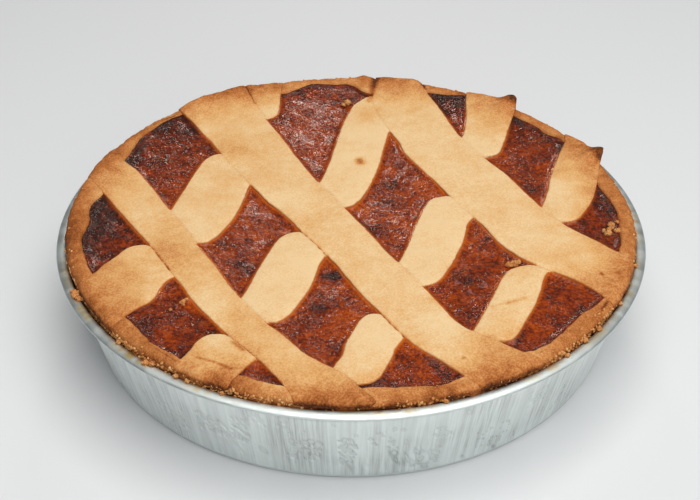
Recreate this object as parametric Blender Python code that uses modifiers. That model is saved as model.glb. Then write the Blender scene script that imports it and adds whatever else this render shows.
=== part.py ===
"""Pastiera in its aluminium tin: a deep Neapolitan tart with a lattice of seven pastry strips.

Units are metres, +Z is up and the origin is the middle of the tin's underside.
The strips' stations and the tables of uneven places are in millimetres and degrees.
"""
import math
from dataclasses import dataclass

import bpy
import bmesh
from mathutils import Vector, noise

MM = 0.001

# Driving sizes of the tin
TIN_RADIUS = 120 * MM          # outside of the rolled bead
TIN_HEIGHT = 41.5 * MM
TIN_BASE_RADIUS = 108 * MM
TIN_WALL = 0.5 * MM
TIN_CORNER = 3.0 * MM
BEAD_WIDTH = 4.0 * MM
BEAD_HEIGHT = 2.5 * MM
TIN_STEPS = 68
CORNER_STEPS = 3
BEAD_STEPS = 7

# Driving sizes of the pie
GAP = 0.3 * MM                 # air between touching pieces
TIN_GAP = 0.4 * MM             # air between the crust and the tin
BASE_CRUST = 5.0 * MM
WALL_CRUST = 7.0 * MM
LIP_OVERHANG = 0.8 * MM        # how far the crust's lip stands out over the bead
LIP_FOOT = 0.8 * MM            # over the tin's rim, where the lip starts
LIP_WIDTH = 2.8 * MM
LIP_DROP = 2.4 * MM
LIP_ARC_STEPS = 3
WALL_FOOT_ROUND = 6.0 * MM
WALL_FOOT_STEPS = 3
WALL_LEAN_DEPTH = 3.0 * MM     # below the tin's rim, where the inner wall starts to lean back
WALL_LEAN = 0.8 * MM
INNER_LIP_DEPTH = 1.2 * MM     # the inner edge of the lip is broken down to here
INNER_LIP_WIDTH = 2.4 * MM
SHELL_BELOW_LID = 0.1 * MM
RIM_DEPTH = 12 * MM            # how far down the crust's uneven edge reaches
EDGE_SETBACK = 0.35 * MM
EDGE_ROUGHNESS = 0.5 * MM
EDGE_GRAIN = 6 * MM
LID_CENTRE = 4.8 * MM          # top of the lattice over the tin's rim, in the middle
LID_EDGE = 5.6 * MM            # the same at the outer edge, on average
LID_TILT = 1.4 * MM            # the back left edge stands this much higher, the front lower
LID_TILT_AZIMUTH = 115.0
LID_EDGE_START = 88 * MM       # the lid rises from here out to its edge
LID_EDGE_BLEND = 28 * MM
LIFT_START = 101 * MM          # the lifted strip ends rise from here outwards
LIFT_BLEND = 15 * MM
STRIP_THICKNESS = 3.6 * MM
STRIP_CROWN = 0.15 * MM
STRIP_TOP_ROUND = 1.1 * MM
STRIP_TOP_DROP = 0.15 * MM
STRIP_FOOT_BEVEL = 0.7 * MM
FILLING_BELOW_LID = 1.7 * MM
FILLING_SIDE_GAP = 0.8 * MM    # more air at the filling's top edge, where the wall is uneven
FILLING_SIDE_LEAN = 1.1 * MM
FILLING_FLAT_START = 100 * MM  # the filling's relief fades from here to its edge
FILLING_FLAT_BLEND = 9 * MM
FILLING_FLATTENING = 0.7
FILLING_SHIFT_BLEND = 16 * MM  # its edge follows the wall's uneven inside over this width
FILLING_RELIEF = 0.9 * MM
SWELL_RELIEF = 0.35 * MM
SWELL_LENGTH = 34 * MM
BLISTER_LENGTH = 17 * MM
CRUST_STEPS = 60
SHARP_ANGLE = 40
FILLING_RINGS = 9

# Where a lower strip passes under an upper one
UNDERPASS_DEPTH = 3.9 * MM
UNDERPASS_RAMP = 9.0 * MM
PINCH = 3.2 * MM
PINCH_LENGTH = 11 * MM
STRIP_STEP = 9.5 * MM          # between a strip's sections; half of it near its ends
END_RADIUS = 98 * MM
CROSSING_REACH = 6 * MM        # middles that come nearer than this cross
HEADROOM = 12 * MM             # how far a cutter stands over its strip
ENVELOPE_DEPTH = 16 * MM       # how far the trimming solid reaches below the tin's rim

# Azimuth in degrees (0 is +X, 90 the back), size in mm and spread in degrees
END_LIFTS = ((20.4, 4.7, 3.4), (27, 1.4, 5), (49.4, 4.2, 3.4), (55, 1.3, 5),
             (77, 1.0, 5), (87, 1.8, 3.2), (117, 1.2, 4), (127, 1.6, 8))
EDGE_INSETS = ((208, 0.7, 14), (236, 0.5, 8), (318, 0.5, 10), (345, 0.4, 8), (12, 0.5, 8),
               (45, 0.4, 10), (67, 0.4, 8))
CORNER_REACH = ((20.5, 2.4, 3.2), (49.5, 2.0, 3.2))
WINDOW_EDGE = ((7, -2.2, 5), (32, 1.7, 4), (61, 2.2, 4), (84, -4.5, 4.5), (96, 0.8, 5), (109, -1.2, 7),
               (141, 2.2, 9), (157, -1.8, 5), (174, -4.2, 8), (186, -2.4, 5), (235, 2.2, 6),
               (260, 1.2, 5), (286, 2.2, 5), (301, -2.0, 4.5), (326, 1.6, 5))


@dataclass(frozen=True)
class Strip:
    """A pastry strip: its node name, and x, y and half width in mm along its middle."""

    name: str
    stations: tuple


UPPER_STRIPS = (
    Strip("strip_upper_a", ((-114, 46, 11), (-99.5, 23, 10.4), (-78.4, -11, 9.5),
                            (-58.6, -46, 8.6), (-42.9, -71.6, 8), (-23.7, -94.8, 7.7),
                            (-10.5, -110, 11), (-3, -122, 13))),
    Strip("strip_upper_b", ((-74, 112, 17.5), (-65.7, 94.8, 17), (-52.7, 67.6, 15.7),
                            (-30, 22.9, 13.5), (-9.9, -11.6, 12.1), (9.9, -46.4, 11.3),
                            (29.5, -80, 11), (45.5, -94.5, 12.4), (64, -109, 14.5))),
    Strip("strip_upper_c", ((21.2, 125.4, 8.8), (23, 100.3, 13.4), (28, 80.6, 15.1),
                            (37.1, 51.7, 15), (55.3, 16.1, 15.7), (68.6, -10.8, 15.3),
                            (80.5, -27.4, 16.2), (95, -42.5, 14), (110, -62, 14))),
)
LOWER_STRIPS = (
    Strip("strip_lower_1", ((-42, 126, 10.5), (-44, 98, 10.7), (-48.5, 65, 12), (-54.5, 28, 13.6),
                            (-60, -2, 13.9), (-67.5, -21, 13.6), (-77, -37, 14),
                            (-87, -55, 14.6), (-101, -77, 13.5))),
    Strip("strip_lower_2", ((22, 125, 11), (15.5, 97, 11.5), (8.3, 75, 11.4), (3.8, 51, 11.2),
                            (0.6, 31, 11.4), (-5, 11.5, 11.2), (-18.8, -26, 11),
                            (-24.2, -44.7, 11.3), (-29.5, -62, 11.2), (-37.5, -80, 11.2),
                            (-46.5, -93.5, 12), (-59, -113, 12.5))),
    Strip("strip_lower_3", ((71, 121, 12), (66.2, 89, 12.5), (62.5, 70, 10.8), (57.5, 50, 10.4),
                            (45.5, 10, 10.4), (39, -7, 10.6), (32.6, -26.3, 10.8),
                            (27, -44, 10.5), (13, -76, 9.7), (5, -93, 9.8), (-4, -123, 9.2))),
    Strip("strip_lower_4", ((109, 71, 10), (103.3, 51.3, 10.4), (98, 32, 10.1), (93, 14.5, 10.7),
                            (86.5, -4, 10.3), (74, -36, 8.9), (65.8, -51, 8.5),
                            (60.7, -61, 8.4), (55, -74, 8.2), (48, -91, 8), (38, -120, 8))),
)


# Finishes: colour, roughness and metallic value
ALUMINIUM = ((0.62, 0.64, 0.65), 0.38, 1.0)
RIM_PASTRY = ((0.55, 0.25, 0.08), 0.8, 0.0)
STRIP_PASTRY = ((0.80, 0.50, 0.22), 0.8, 0.0)
RICOTTA_FILLING = ((0.20, 0.035, 0.012), 0.25, 0.0)


def smooth_step(value):
    """Ease from 0 to 1 as value goes from 0 to 1."""
    value = min(max(value, 0.0), 1.0)
    return value * value * (3 - 2 * value)


def around(azimuth, features):
    """Sum of the features (azimuth, size in mm, spread) at an azimuth in degrees."""
    total = 0.0
    for centre, size, spread in features:
        turn = (azimuth - centre + 180) % 360 - 180
        total += size * MM * math.exp(-(turn / spread) ** 2)
    return total


def azimuth_of(x, y):
    """Azimuth in degrees of a point seen from the middle."""
    return math.degrees(math.atan2(y, x)) % 360


def tin_inner_radius(height):
    """Radius of the tin's inside at a height over the table."""
    top = TIN_RADIUS - BEAD_WIDTH
    slope = (TIN_RADIUS - BEAD_WIDTH - TIN_BASE_RADIUS + TIN_WALL) / (TIN_HEIGHT - TIN_CORNER)
    return top - (TIN_HEIGHT - height) * slope


def lid_height(x, y):
    """Top of the pastry at a point, without the lifted strip ends."""
    azimuth = math.radians(azimuth_of(x, y) - LID_TILT_AZIMUTH)
    edge = LID_EDGE + LID_TILT * math.cos(azimuth)
    blend = smooth_step((math.hypot(x, y) - LID_EDGE_START) / LID_EDGE_BLEND)
    swell = SWELL_RELIEF * noise.noise(Vector((x, y, 0.7)) / SWELL_LENGTH)
    return TIN_HEIGHT + LID_CENTRE + (edge - LID_CENTRE) * blend + swell


def window_shift(x, y, height):
    """How far the crust's inner wall, and the filling in it, stands out from its circle."""
    rise = smooth_step((height - TIN_HEIGHT) / (LID_EDGE - LIP_DROP))
    return around(azimuth_of(x, y), WINDOW_EDGE) * rise


def strip_height(x, y):
    """Top of a strip at a point: the lid's height with the ends lifted at the back."""
    lift = around(azimuth_of(x, y), END_LIFTS)
    return lid_height(x, y) + lift * smooth_step((math.hypot(x, y) - LIFT_START) / LIFT_BLEND)


def new_material(name, finish):
    """Principled material from a colour, roughness and metallic value."""
    colour, roughness, metallic = finish
    material = bpy.data.materials.new(name)
    material.use_nodes = True
    shader = material.node_tree.nodes["Principled BSDF"]
    shader.inputs["Base Color"].default_value = (*colour, 1.0)
    shader.inputs["Roughness"].default_value = roughness
    shader.inputs["Metallic"].default_value = metallic
    return material


def add_object(name, mesh, collection, finish=None):
    """Link a mesh as an object; without a finish it is a hidden cutter."""
    item = bpy.data.objects.new(name, mesh)
    collection.objects.link(item)
    if finish is None:
        item.hide_render = True
        item.display_type = "WIRE"
    else:
        mesh.materials.append(new_material(name, finish))
    return item


def turned_mesh(name, profile, steps):
    """Turn a profile of (radius, height) points round Z and return the mesh."""
    outline = bpy.data.meshes.new(name + "_profile")
    points = [(radius, 0, height) for radius, height in profile]
    outline.from_pydata(points, [(i, i + 1) for i in range(len(points) - 1)], [])
    item = bpy.data.objects.new(name + "_profile", outline)
    bpy.context.scene.collection.objects.link(item)
    screw = item.modifiers.new("turn", "SCREW")
    screw.steps = screw.render_steps = steps
    screw.use_merge_vertices = True
    screw.merge_threshold = 0.00002
    graph = bpy.context.evaluated_depsgraph_get()
    mesh = bpy.data.meshes.new_from_object(item.evaluated_get(graph))
    mesh.name = name
    bpy.data.objects.remove(item)
    bpy.data.meshes.remove(outline)
    return mesh


def arc(centre, radii, start, end, steps):
    """Points of an elliptic arc from start to end degrees, both included."""
    points = []
    for i in range(steps + 1):
        angle = math.radians(start + (end - start) * i / steps)
        points.append((centre[0] + radii[0] * math.cos(angle), centre[1] + radii[1] * math.sin(angle)))
    return points


def tin_profile():
    """Section of the tin from the middle of its floor, over the bead, to its underside."""
    bead_centre = (TIN_RADIUS - BEAD_WIDTH / 2, TIN_HEIGHT - BEAD_HEIGHT / 2)
    bead_radii = (BEAD_WIDTH / 2, BEAD_HEIGHT / 2)
    floor_radius = TIN_BASE_RADIUS - TIN_CORNER
    inner_corner = TIN_CORNER - TIN_WALL
    profile = [(0, TIN_WALL)]
    profile += arc((floor_radius, TIN_CORNER), (inner_corner, inner_corner), -90, -15, CORNER_STEPS)
    profile += arc(bead_centre, bead_radii, 180, -140, BEAD_STEPS)
    profile += arc((floor_radius, TIN_CORNER), (TIN_CORNER, TIN_CORNER), -15, -90, CORNER_STEPS)
    profile.append((0, 0))
    return profile


def crust_profile():
    """Section of the shell: floor, inner wall, rounded lip, outer wall and underside."""
    bottom = TIN_WALL + GAP
    floor = bottom + BASE_CRUST
    lip = TIN_HEIGHT + LID_EDGE
    outer_top = tin_inner_radius(TIN_HEIGHT) - TIN_GAP
    inner_top = outer_top - WALL_CRUST
    inner_foot = tin_inner_radius(floor) - TIN_GAP - WALL_CRUST
    foot_centre = (inner_foot - WALL_FOOT_ROUND, floor + WALL_FOOT_ROUND)
    profile = [(0, floor)]
    profile += arc(foot_centre, (WALL_FOOT_ROUND, WALL_FOOT_ROUND), -90, -10, WALL_FOOT_STEPS)
    profile.append((inner_top - WALL_LEAN, TIN_HEIGHT - WALL_LEAN_DEPTH))
    profile += arc((inner_top + INNER_LIP_WIDTH, lip - INNER_LIP_DEPTH),
                   (INNER_LIP_WIDTH, INNER_LIP_DEPTH), 180, 90, 2)
    lip_centre = (outer_top + LIP_OVERHANG - LIP_WIDTH, lip - LIP_DROP)
    profile += arc(lip_centre, (LIP_WIDTH, LIP_DROP), 90, 0, LIP_ARC_STEPS)
    profile.append((outer_top, TIN_HEIGHT + LIP_FOOT))
    profile.append((tin_inner_radius(TIN_CORNER * 2) - TIN_GAP, TIN_CORNER * 2))
    outer_foot = tin_inner_radius(TIN_CORNER) - TIN_GAP - TIN_CORNER
    profile.append((outer_foot, bottom))
    profile.append((0, bottom))
    return profile


def envelope_profile():
    """Section of the solid that trims the strips' ends to the crust's outer side."""
    lip = TIN_HEIGHT + LID_EDGE
    outer_top = tin_inner_radius(TIN_HEIGHT) - TIN_GAP
    low = TIN_HEIGHT - ENVELOPE_DEPTH
    lip_centre = (outer_top + LIP_OVERHANG - LIP_WIDTH, lip - LIP_DROP)
    profile = [(0, lip + HEADROOM / 2), (lip_centre[0], lip + HEADROOM / 2)]
    profile += arc(lip_centre, (LIP_WIDTH, LIP_DROP), 60, 0, 2)
    profile.append((outer_top, TIN_HEIGHT + LIP_FOOT))
    profile.append((tin_inner_radius(low) - TIN_GAP, low))
    profile.append((0, low))
    return profile


def split_faces(mesh):
    """Split the faces of a shaped mesh into triangles, so that each one is flat."""
    shape = bmesh.new()
    shape.from_mesh(mesh)
    bmesh.ops.triangulate(shape, faces=shape.faces[:])
    shape.to_mesh(mesh)
    shape.free()


def shape_rim(mesh, lifted):
    """Give a turned crust its uneven height, inset edge and window edge."""
    lip = TIN_HEIGHT + LID_EDGE
    inner = tin_inner_radius(TIN_HEIGHT) - TIN_GAP - WALL_CRUST
    for vertex in mesh.vertices:
        x, y, z = vertex.co
        radius = math.hypot(x, y)
        if radius < inner - WALL_CRUST or z < TIN_HEIGHT - RIM_DEPTH:
            continue
        azimuth = azimuth_of(x, y)
        rise = smooth_step((z - TIN_HEIGHT) / (lip - TIN_HEIGHT - LIP_DROP))
        depth = smooth_step((z - TIN_HEIGHT) / RIM_DEPTH + 1)
        outward = around(azimuth, CORNER_REACH) * rise if lifted else 0.0
        outward -= around(azimuth, EDGE_INSETS) * depth
        grain = noise.noise(Vector((x, y, z)) / EDGE_GRAIN)
        outward += (EDGE_ROUGHNESS * grain - EDGE_SETBACK) * depth
        inward = window_shift(x, y, z)
        across = min(max((radius - inner) / WALL_CRUST, 0.0), 1.0)
        scale = 1 + (inward + (outward - inward) * across) / radius
        target = strip_height(x, y) if lifted else lid_height(x, y) - SHELL_BELOW_LID
        vertex.co = (x * scale, y * scale, z + (target - lip) * rise)
    split_faces(mesh)


def spline_samples(stations, step):
    """Even samples (point, half width) of a smooth curve through the stations."""
    points = [Vector(station) * MM for station in stations]
    points = [2 * points[0] - points[1]] + points + [2 * points[-1] - points[-2]]
    dense = []
    for p0, p1, p2, p3 in zip(points, points[1:], points[2:], points[3:]):
        for i in range(20):
            t = i / 20
            dense.append(0.5 * (2 * p1 + (p2 - p0) * t + (2 * p0 - 5 * p1 + 4 * p2 - p3) * t * t
                                + (3 * p1 - p0 - 3 * p2 + p3) * t ** 3))
    dense.append(points[-2])
    lengths = [0.0]
    for a, b in zip(dense, dense[1:]):
        lengths.append(lengths[-1] + (b.xy - a.xy).length)
    count = max(int(round(lengths[-1] / step)), 2)
    samples = []
    index = 0
    for i in range(count + 1):
        target = lengths[-1] * i / count
        while index < len(dense) - 2 and lengths[index + 1] < target:
            index += 1
        t = (target - lengths[index]) / (lengths[index + 1] - lengths[index])
        samples.append(dense[index].lerp(dense[index + 1], t))
    return samples


def crossing_points(samples, over):
    """Where a strip's middle comes nearest to the middle of each strip over it."""
    crossings = []
    for line in over:
        distance, place = min(((a.xy - b.xy).length, tuple(a.xy)) for a in samples for b in line)
        if distance < CROSSING_REACH:
            crossings.append(Vector(place))
    return crossings


def underpass(sample, over):
    """How deep the strip's underside dips at a sample, below the strips that lie over it."""
    dip = 0.0
    for line in over:
        nearest = min(line, key=lambda other: (other.xy - sample.xy).length)
        clear = (nearest.xy - sample.xy).length - nearest.z - sample.z
        dip = max(dip, smooth_step(1 - clear / UNDERPASS_RAMP))
    return dip * UNDERPASS_DEPTH


def strip_section(half_width, bottom):
    """Section across a strip: offsets from its middle and heights from its top."""
    right = [(half_width - STRIP_FOOT_BEVEL, bottom), (half_width, bottom + STRIP_FOOT_BEVEL),
             (half_width, -STRIP_TOP_ROUND), (half_width - STRIP_TOP_ROUND, -STRIP_TOP_DROP)]
    left = [(-offset, height) for offset, height in reversed(right)]
    return right + [(0, STRIP_CROWN)] + left


def cutter_section(half_width, bottom):
    """Section of the room that a strip takes in what it lies in."""
    side = half_width + GAP
    return [(side, bottom - GAP), (side, HEADROOM), (-side, HEADROOM), (-side, bottom - GAP)]


def strip_mesh(name, strip, over, section_of):
    """Loft a strip, or its cutter, along its middle."""
    fine = [spline_samples(other.stations, 3 * MM) for other in over]
    dense = spline_samples(strip.stations, STRIP_STEP / 2)
    samples = [sample for i, sample in enumerate(dense) if i % 2 == 0 or sample.xy.length > END_RADIUS]
    crossings = crossing_points(spline_samples(strip.stations, 2 * MM), fine)
    shape = bmesh.new()
    rings = []
    for i, sample in enumerate(samples):
        ahead = samples[min(i + 1, len(samples) - 1)].xy - samples[max(i - 1, 0)].xy
        across = Vector((ahead.y, -ahead.x)).normalized()
        half_width = sample.z
        for crossing in crossings:
            half_width -= PINCH * math.exp(-((sample.xy - crossing).length / PINCH_LENGTH) ** 2)
        bottom = -STRIP_THICKNESS - underpass(sample, fine)
        ring = []
        for offset, height in section_of(half_width, bottom):
            place = sample.xy + across * offset
            ring.append(shape.verts.new((place.x, place.y, strip_height(place.x, place.y) + height)))
        rings.append(ring)
    for a, b in zip(rings, rings[1:]):
        for j in range(len(a)):
            k = (j + 1) % len(a)
            shape.faces.new((a[j], a[k], b[k], b[j]))
    shape.faces.new(rings[0])
    shape.faces.new(rings[-1])
    bmesh.ops.triangulate(shape, faces=shape.faces[:])
    bmesh.ops.recalc_face_normals(shape, faces=shape.faces[:])
    mesh = bpy.data.meshes.new(name)
    shape.to_mesh(mesh)
    shape.free()
    return mesh


def trim(item, envelope):
    """Keep what of an object lies inside the envelope."""
    modifier = item.modifiers.new("trim", "BOOLEAN")
    modifier.operation = "INTERSECT"
    modifier.solver = "EXACT"
    modifier.object = envelope


def make_room(item, rooms):
    """Cut the rooms of a collection out of an object."""
    modifier = item.modifiers.new("make_room", "BOOLEAN")
    modifier.operation = "DIFFERENCE"
    modifier.solver = "EXACT"
    modifier.operand_type = "COLLECTION"
    modifier.collection = rooms


def filling_mesh():
    """Turn the filling and give its top the swells and blisters of the baked custard."""
    bottom = TIN_WALL + GAP + BASE_CRUST + GAP
    top = TIN_HEIGHT + LID_CENTRE - FILLING_BELOW_LID
    wall = WALL_CRUST + TIN_GAP + GAP
    rim = tin_inner_radius(TIN_HEIGHT) - wall
    foot = tin_inner_radius(bottom) - wall
    profile = [(rim * ring / FILLING_RINGS, top) for ring in range(FILLING_RINGS)]
    profile.append((rim - FILLING_SIDE_GAP, top))
    profile.append((rim - FILLING_SIDE_LEAN, TIN_HEIGHT - WALL_LEAN_DEPTH))
    profile += arc((foot - WALL_FOOT_ROUND, bottom + WALL_FOOT_ROUND),
                   (WALL_FOOT_ROUND, WALL_FOOT_ROUND), -10, -90, WALL_FOOT_STEPS)
    profile.append((0, bottom))
    mesh = turned_mesh("filling", profile, CRUST_STEPS)
    for vertex in mesh.vertices:
        x, y, z = vertex.co
        radius = math.hypot(x, y)
        if z < top - MM:
            continue
        edge = smooth_step((radius - FILLING_FLAT_START) / FILLING_FLAT_BLEND)
        blister = noise.noise(Vector((x, y, 5)) / BLISTER_LENGTH) * (1 - FILLING_FLATTENING * edge)
        height = lid_height(x, y) - FILLING_BELOW_LID + FILLING_RELIEF * blister
        follow = smooth_step((radius - rim) / FILLING_SHIFT_BLEND + 1)
        shift = window_shift(x, y, top) * follow
        scale = 1 + shift / max(radius, MM)
        vertex.co = (x * scale, y * scale, height)
    split_faces(mesh)
    return mesh


def add_strips(parts, cutters, envelope):
    """Add the strips, and return the collection of the room that all of them take."""
    upper_rooms = bpy.data.collections.new("upper_strip_rooms")
    all_rooms = bpy.data.collections.new("strip_rooms")
    cutters.children.link(upper_rooms)
    cutters.children.link(all_rooms)
    for strip in UPPER_STRIPS + LOWER_STRIPS:
        lower = strip in LOWER_STRIPS
        over = UPPER_STRIPS if lower else ()
        room_name = strip.name + "_room"
        room = add_object(room_name, strip_mesh(room_name, strip, over, cutter_section), all_rooms)
        item = add_object(strip.name, strip_mesh(strip.name, strip, over, strip_section), parts,
                          STRIP_PASTRY)
        trim(item, envelope)
        if lower:
            make_room(item, upper_rooms)
        else:
            upper_rooms.objects.link(room)
    return all_rooms


def build():
    """Build the tin, the crust, the filling and the seven strips."""
    parts = bpy.data.collections.new("pastiera")
    cutters = bpy.data.collections.new("cutters")
    bpy.context.scene.collection.children.link(parts)
    bpy.context.scene.collection.children.link(cutters)

    add_object("tin", turned_mesh("tin", tin_profile(), TIN_STEPS), parts, ALUMINIUM)

    shell_mesh = turned_mesh("pastry_shell", crust_profile(), CRUST_STEPS)
    shape_rim(shell_mesh, False)
    shell = add_object("pastry_shell", shell_mesh, parts, RIM_PASTRY)
    filling = add_object("filling", filling_mesh(), parts, RICOTTA_FILLING)

    envelope_mesh = turned_mesh("strip_envelope", envelope_profile(), CRUST_STEPS)
    shape_rim(envelope_mesh, True)
    envelope = add_object("strip_envelope", envelope_mesh, cutters)

    rooms = add_strips(parts, cutters, envelope)
    make_room(shell, rooms)
    make_room(filling, rooms)

    for item in parts.objects:
        item.data.shade_smooth()
        item.data.set_sharp_from_angle(angle=math.radians(SHARP_ANGLE))


for old in list(bpy.data.objects):
    bpy.data.objects.remove(old)
build()
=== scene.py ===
"""Looks of a pastiera in its aluminium tin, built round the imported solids.

Sizes here are in millimetres and angles in degrees, with azimuth 0 at +X and 90 at the back.
A mesh is scaled to metres when it is made. The pie's top is one shared form, Lid and Lattice,
and every pastry piece reads it, so that neighbouring pieces meet along their seams.
"""
import sys
import logging
import math
from collections.abc import Callable
from dataclasses import dataclass, field
from enum import Enum

import bmesh
import bpy
import numpy as np
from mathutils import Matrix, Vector, noise


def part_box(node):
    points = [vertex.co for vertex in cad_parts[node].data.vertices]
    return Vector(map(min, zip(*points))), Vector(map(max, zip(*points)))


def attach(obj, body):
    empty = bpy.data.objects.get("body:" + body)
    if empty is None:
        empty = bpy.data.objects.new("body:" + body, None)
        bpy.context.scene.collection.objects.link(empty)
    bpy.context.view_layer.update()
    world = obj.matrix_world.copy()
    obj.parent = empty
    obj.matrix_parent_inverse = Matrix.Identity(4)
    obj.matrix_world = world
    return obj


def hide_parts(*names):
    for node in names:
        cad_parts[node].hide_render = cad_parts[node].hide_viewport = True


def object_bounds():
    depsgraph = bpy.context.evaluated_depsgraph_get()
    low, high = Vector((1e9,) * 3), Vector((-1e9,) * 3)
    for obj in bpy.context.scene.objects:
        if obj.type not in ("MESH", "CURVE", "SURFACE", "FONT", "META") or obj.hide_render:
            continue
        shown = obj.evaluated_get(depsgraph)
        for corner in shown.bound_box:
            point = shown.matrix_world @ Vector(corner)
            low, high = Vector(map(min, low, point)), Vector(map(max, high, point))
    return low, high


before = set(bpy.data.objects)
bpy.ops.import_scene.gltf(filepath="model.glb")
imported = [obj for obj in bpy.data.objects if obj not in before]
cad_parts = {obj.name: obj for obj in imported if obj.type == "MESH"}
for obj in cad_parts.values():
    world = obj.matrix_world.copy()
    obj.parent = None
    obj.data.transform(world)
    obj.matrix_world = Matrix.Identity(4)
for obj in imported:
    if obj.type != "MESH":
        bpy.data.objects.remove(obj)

CAD_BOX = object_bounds()
LOG = logging.getLogger("pastiera")
BODY = "root"
MM = 0.001

TIN_LOW, TIN_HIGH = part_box("tin")
TIN_RADIUS = (TIN_HIGH.x - TIN_LOW.x) / 2 / MM
TIN_HEIGHT = TIN_HIGH.z / MM

LINE_STEP = 0.5  # between the samples of a strip's middle line
BASE_CRUST = 5.0
AIR = 0.3  # between the tin's floor, the crust and the filling

Array = np.ndarray
Item = bpy.types.Object
Material = bpy.types.Material
Socket = bpy.types.NodeSocket


class Layer(Enum):
    """Which way a strip passes at a crossing."""

    UPPER = "upper"
    LOWER = "lower"


class PastryKind(Enum):
    """The two bakes of the shortcrust."""

    STRIP = "strip_pastry"
    RIM = "rim_pastry"


# ---- helpers


def ease(value: Array) -> Array:
    """Ease from 0 to 1 as value goes from 0 to 1."""
    value = np.clip(value, 0.0, 1.0)
    return value * value * (3 - 2 * value)


def hill(distance: Array, spread: float) -> Array:
    """Bell curve of 1 at no distance, fading over the spread."""
    return np.exp(-(distance / spread) ** 2)


def azimuth_of(x: Array, y: Array) -> Array:
    """Azimuth in degrees, from 0 to 360, of points seen from the middle."""
    return np.degrees(np.arctan2(y, x)) % 360


def polar(radius: Array, azimuth: Array) -> tuple[Array, Array]:
    """x and y of a place given by its radius and azimuth."""
    turn = np.radians(azimuth)
    return radius * np.cos(turn), radius * np.sin(turn)


def around(azimuth: Array, features: tuple) -> Array:
    """Add up uneven places round the pie.

    Args:
        azimuth: where to read them.
        features: (azimuth, size, spread) of each place.

    Returns:
        Their sum at each azimuth.
    """
    total = np.zeros_like(azimuth)
    for centre, size, spread in features:
        total += size * hill((azimuth - centre + 180) % 360 - 180, spread)
    return total


def spots(points: Array, places: tuple) -> Array:
    """Add up round patches on the top.

    Args:
        points: x and y of each point.
        places: (x, y, spread, strength) of each patch.

    Returns:
        Their sum at each point.
    """
    total = np.zeros(len(points))
    for x, y, spread, strength in places:
        total += strength * hill(np.hypot(points[:, 0] - x, points[:, 1] - y), spread)
    return total


def noise_tables() -> tuple[Array, Array]:
    """Draw the tables of the smooth noise.

    Returns:
        256 directions, and a shuffled order of their numbers, twice over.
    """
    draw = np.random.default_rng(5)
    directions = draw.normal(size=(256, 3))
    directions /= np.linalg.norm(directions, axis=1)[:, None]
    order = draw.permutation(256)
    return directions, np.concatenate((order, order))


DIRECTIONS, ORDER = noise_tables()


def relief(points: Array, length: float, shift: float = 0.0) -> Array:
    """Smooth noise from about -1 to 1.

    Args:
        points: x, y and z of each point.
        length: size of its swells.
        shift: moves the pattern, so that two of them differ.

    Returns:
        The noise at each point.
    """
    scaled = points / length + shift * np.array((1.0, 1.7, 2.3))
    cell = np.floor(scaled).astype(int)
    part = scaled - cell
    soft = part ** 3 * (part * (part * 6 - 15) + 10)
    total = np.zeros(len(points))
    for corner in np.ndindex(2, 2, 2):
        x, y, z = ((cell + corner) & 255).T
        pick = DIRECTIONS[ORDER[ORDER[ORDER[x] + y] + z]]
        weight = np.where(corner, soft, 1 - soft).prod(axis=1)
        total += weight * (pick * (part - corner)).sum(axis=1)
    return 1.5 * total


def flat_relief(x: Array, y: Array, length: float, shift: float = 0.0) -> Array:
    """Smooth noise over the plan, in the shape of x."""
    points = np.column_stack((np.ravel(x), np.ravel(y), np.zeros(np.size(x))))
    return relief(points, length, shift).reshape(np.shape(x))


class PlanField:
    """A value over the plan, worked out once on a grid and then read between its points."""

    reach = 130.0

    def __init__(self, step: float, function: Callable[[Array], Array]) -> None:
        """Fill the grid.

        Args:
            step: distance between two grid points.
            function: gives the value at rows of x and y.
        """
        self.step = step
        line = np.arange(-self.reach, self.reach + step, step)
        self.count = len(line)
        x, y = np.meshgrid(line, line)
        self.values = function(np.column_stack((x.ravel(), y.ravel()))).reshape(x.shape)

    def at(self, points: Array) -> Array:
        """Read the grid.

        Args:
            points: rows that start with x and y.

        Returns:
            The value at each point, mixed from the four grid points round it.
        """
        place = np.clip((points[:, :2] + self.reach) / self.step, 0, self.count - 1.001)
        cell = place.astype(int)
        u, v = (place - cell).T
        i, j = cell.T
        near = self.values[j, i] * (1 - u) + self.values[j, i + 1] * u
        far = self.values[j + 1, i] * (1 - u) + self.values[j + 1, i + 1] * u
        return near * (1 - v) + far * v


def segment_distance(points: Array, start: tuple, end: tuple) -> Array:
    """Distance in plan from points to a straight line.

    Args:
        points: x and y of each point.
        start: one end of the line.
        end: the other end.

    Returns:
        The distance of each point.
    """
    a = np.array(start, float)
    b = np.array(end, float)
    along = np.clip((points - a) @ (b - a) / ((b - a) @ (b - a)), 0, 1)
    return np.linalg.norm(points - a - along[:, None] * (b - a), axis=1)


def spline_samples(stations: tuple, step: float) -> Array:
    """Sample a smooth curve evenly.

    Args:
        stations: x, y and half width at places along it.
        step: distance between two samples.

    Returns:
        One row of x, y and half width for each sample.
    """
    points = [Vector(station) for station in stations]
    points = [2 * points[0] - points[1]] + points + [2 * points[-1] - points[-2]]
    dense = []
    for p0, p1, p2, p3 in zip(points, points[1:], points[2:], points[3:]):
        for i in range(20):
            t = i / 20
            dense.append(0.5 * (2 * p1 + (p2 - p0) * t + (2 * p0 - 5 * p1 + 4 * p2 - p3) * t * t
                                + (3 * p1 - p0 - 3 * p2 + p3) * t ** 3))
    dense.append(points[-2])
    line = np.array(dense)
    lengths = np.concatenate(([0], np.cumsum(np.linalg.norm(np.diff(line[:, :2], axis=0), axis=1))))
    places = np.linspace(0, lengths[-1], int(round(lengths[-1] / step)) + 1)
    return np.column_stack([np.interp(places, lengths, line[:, k]) for k in range(3)])


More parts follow.
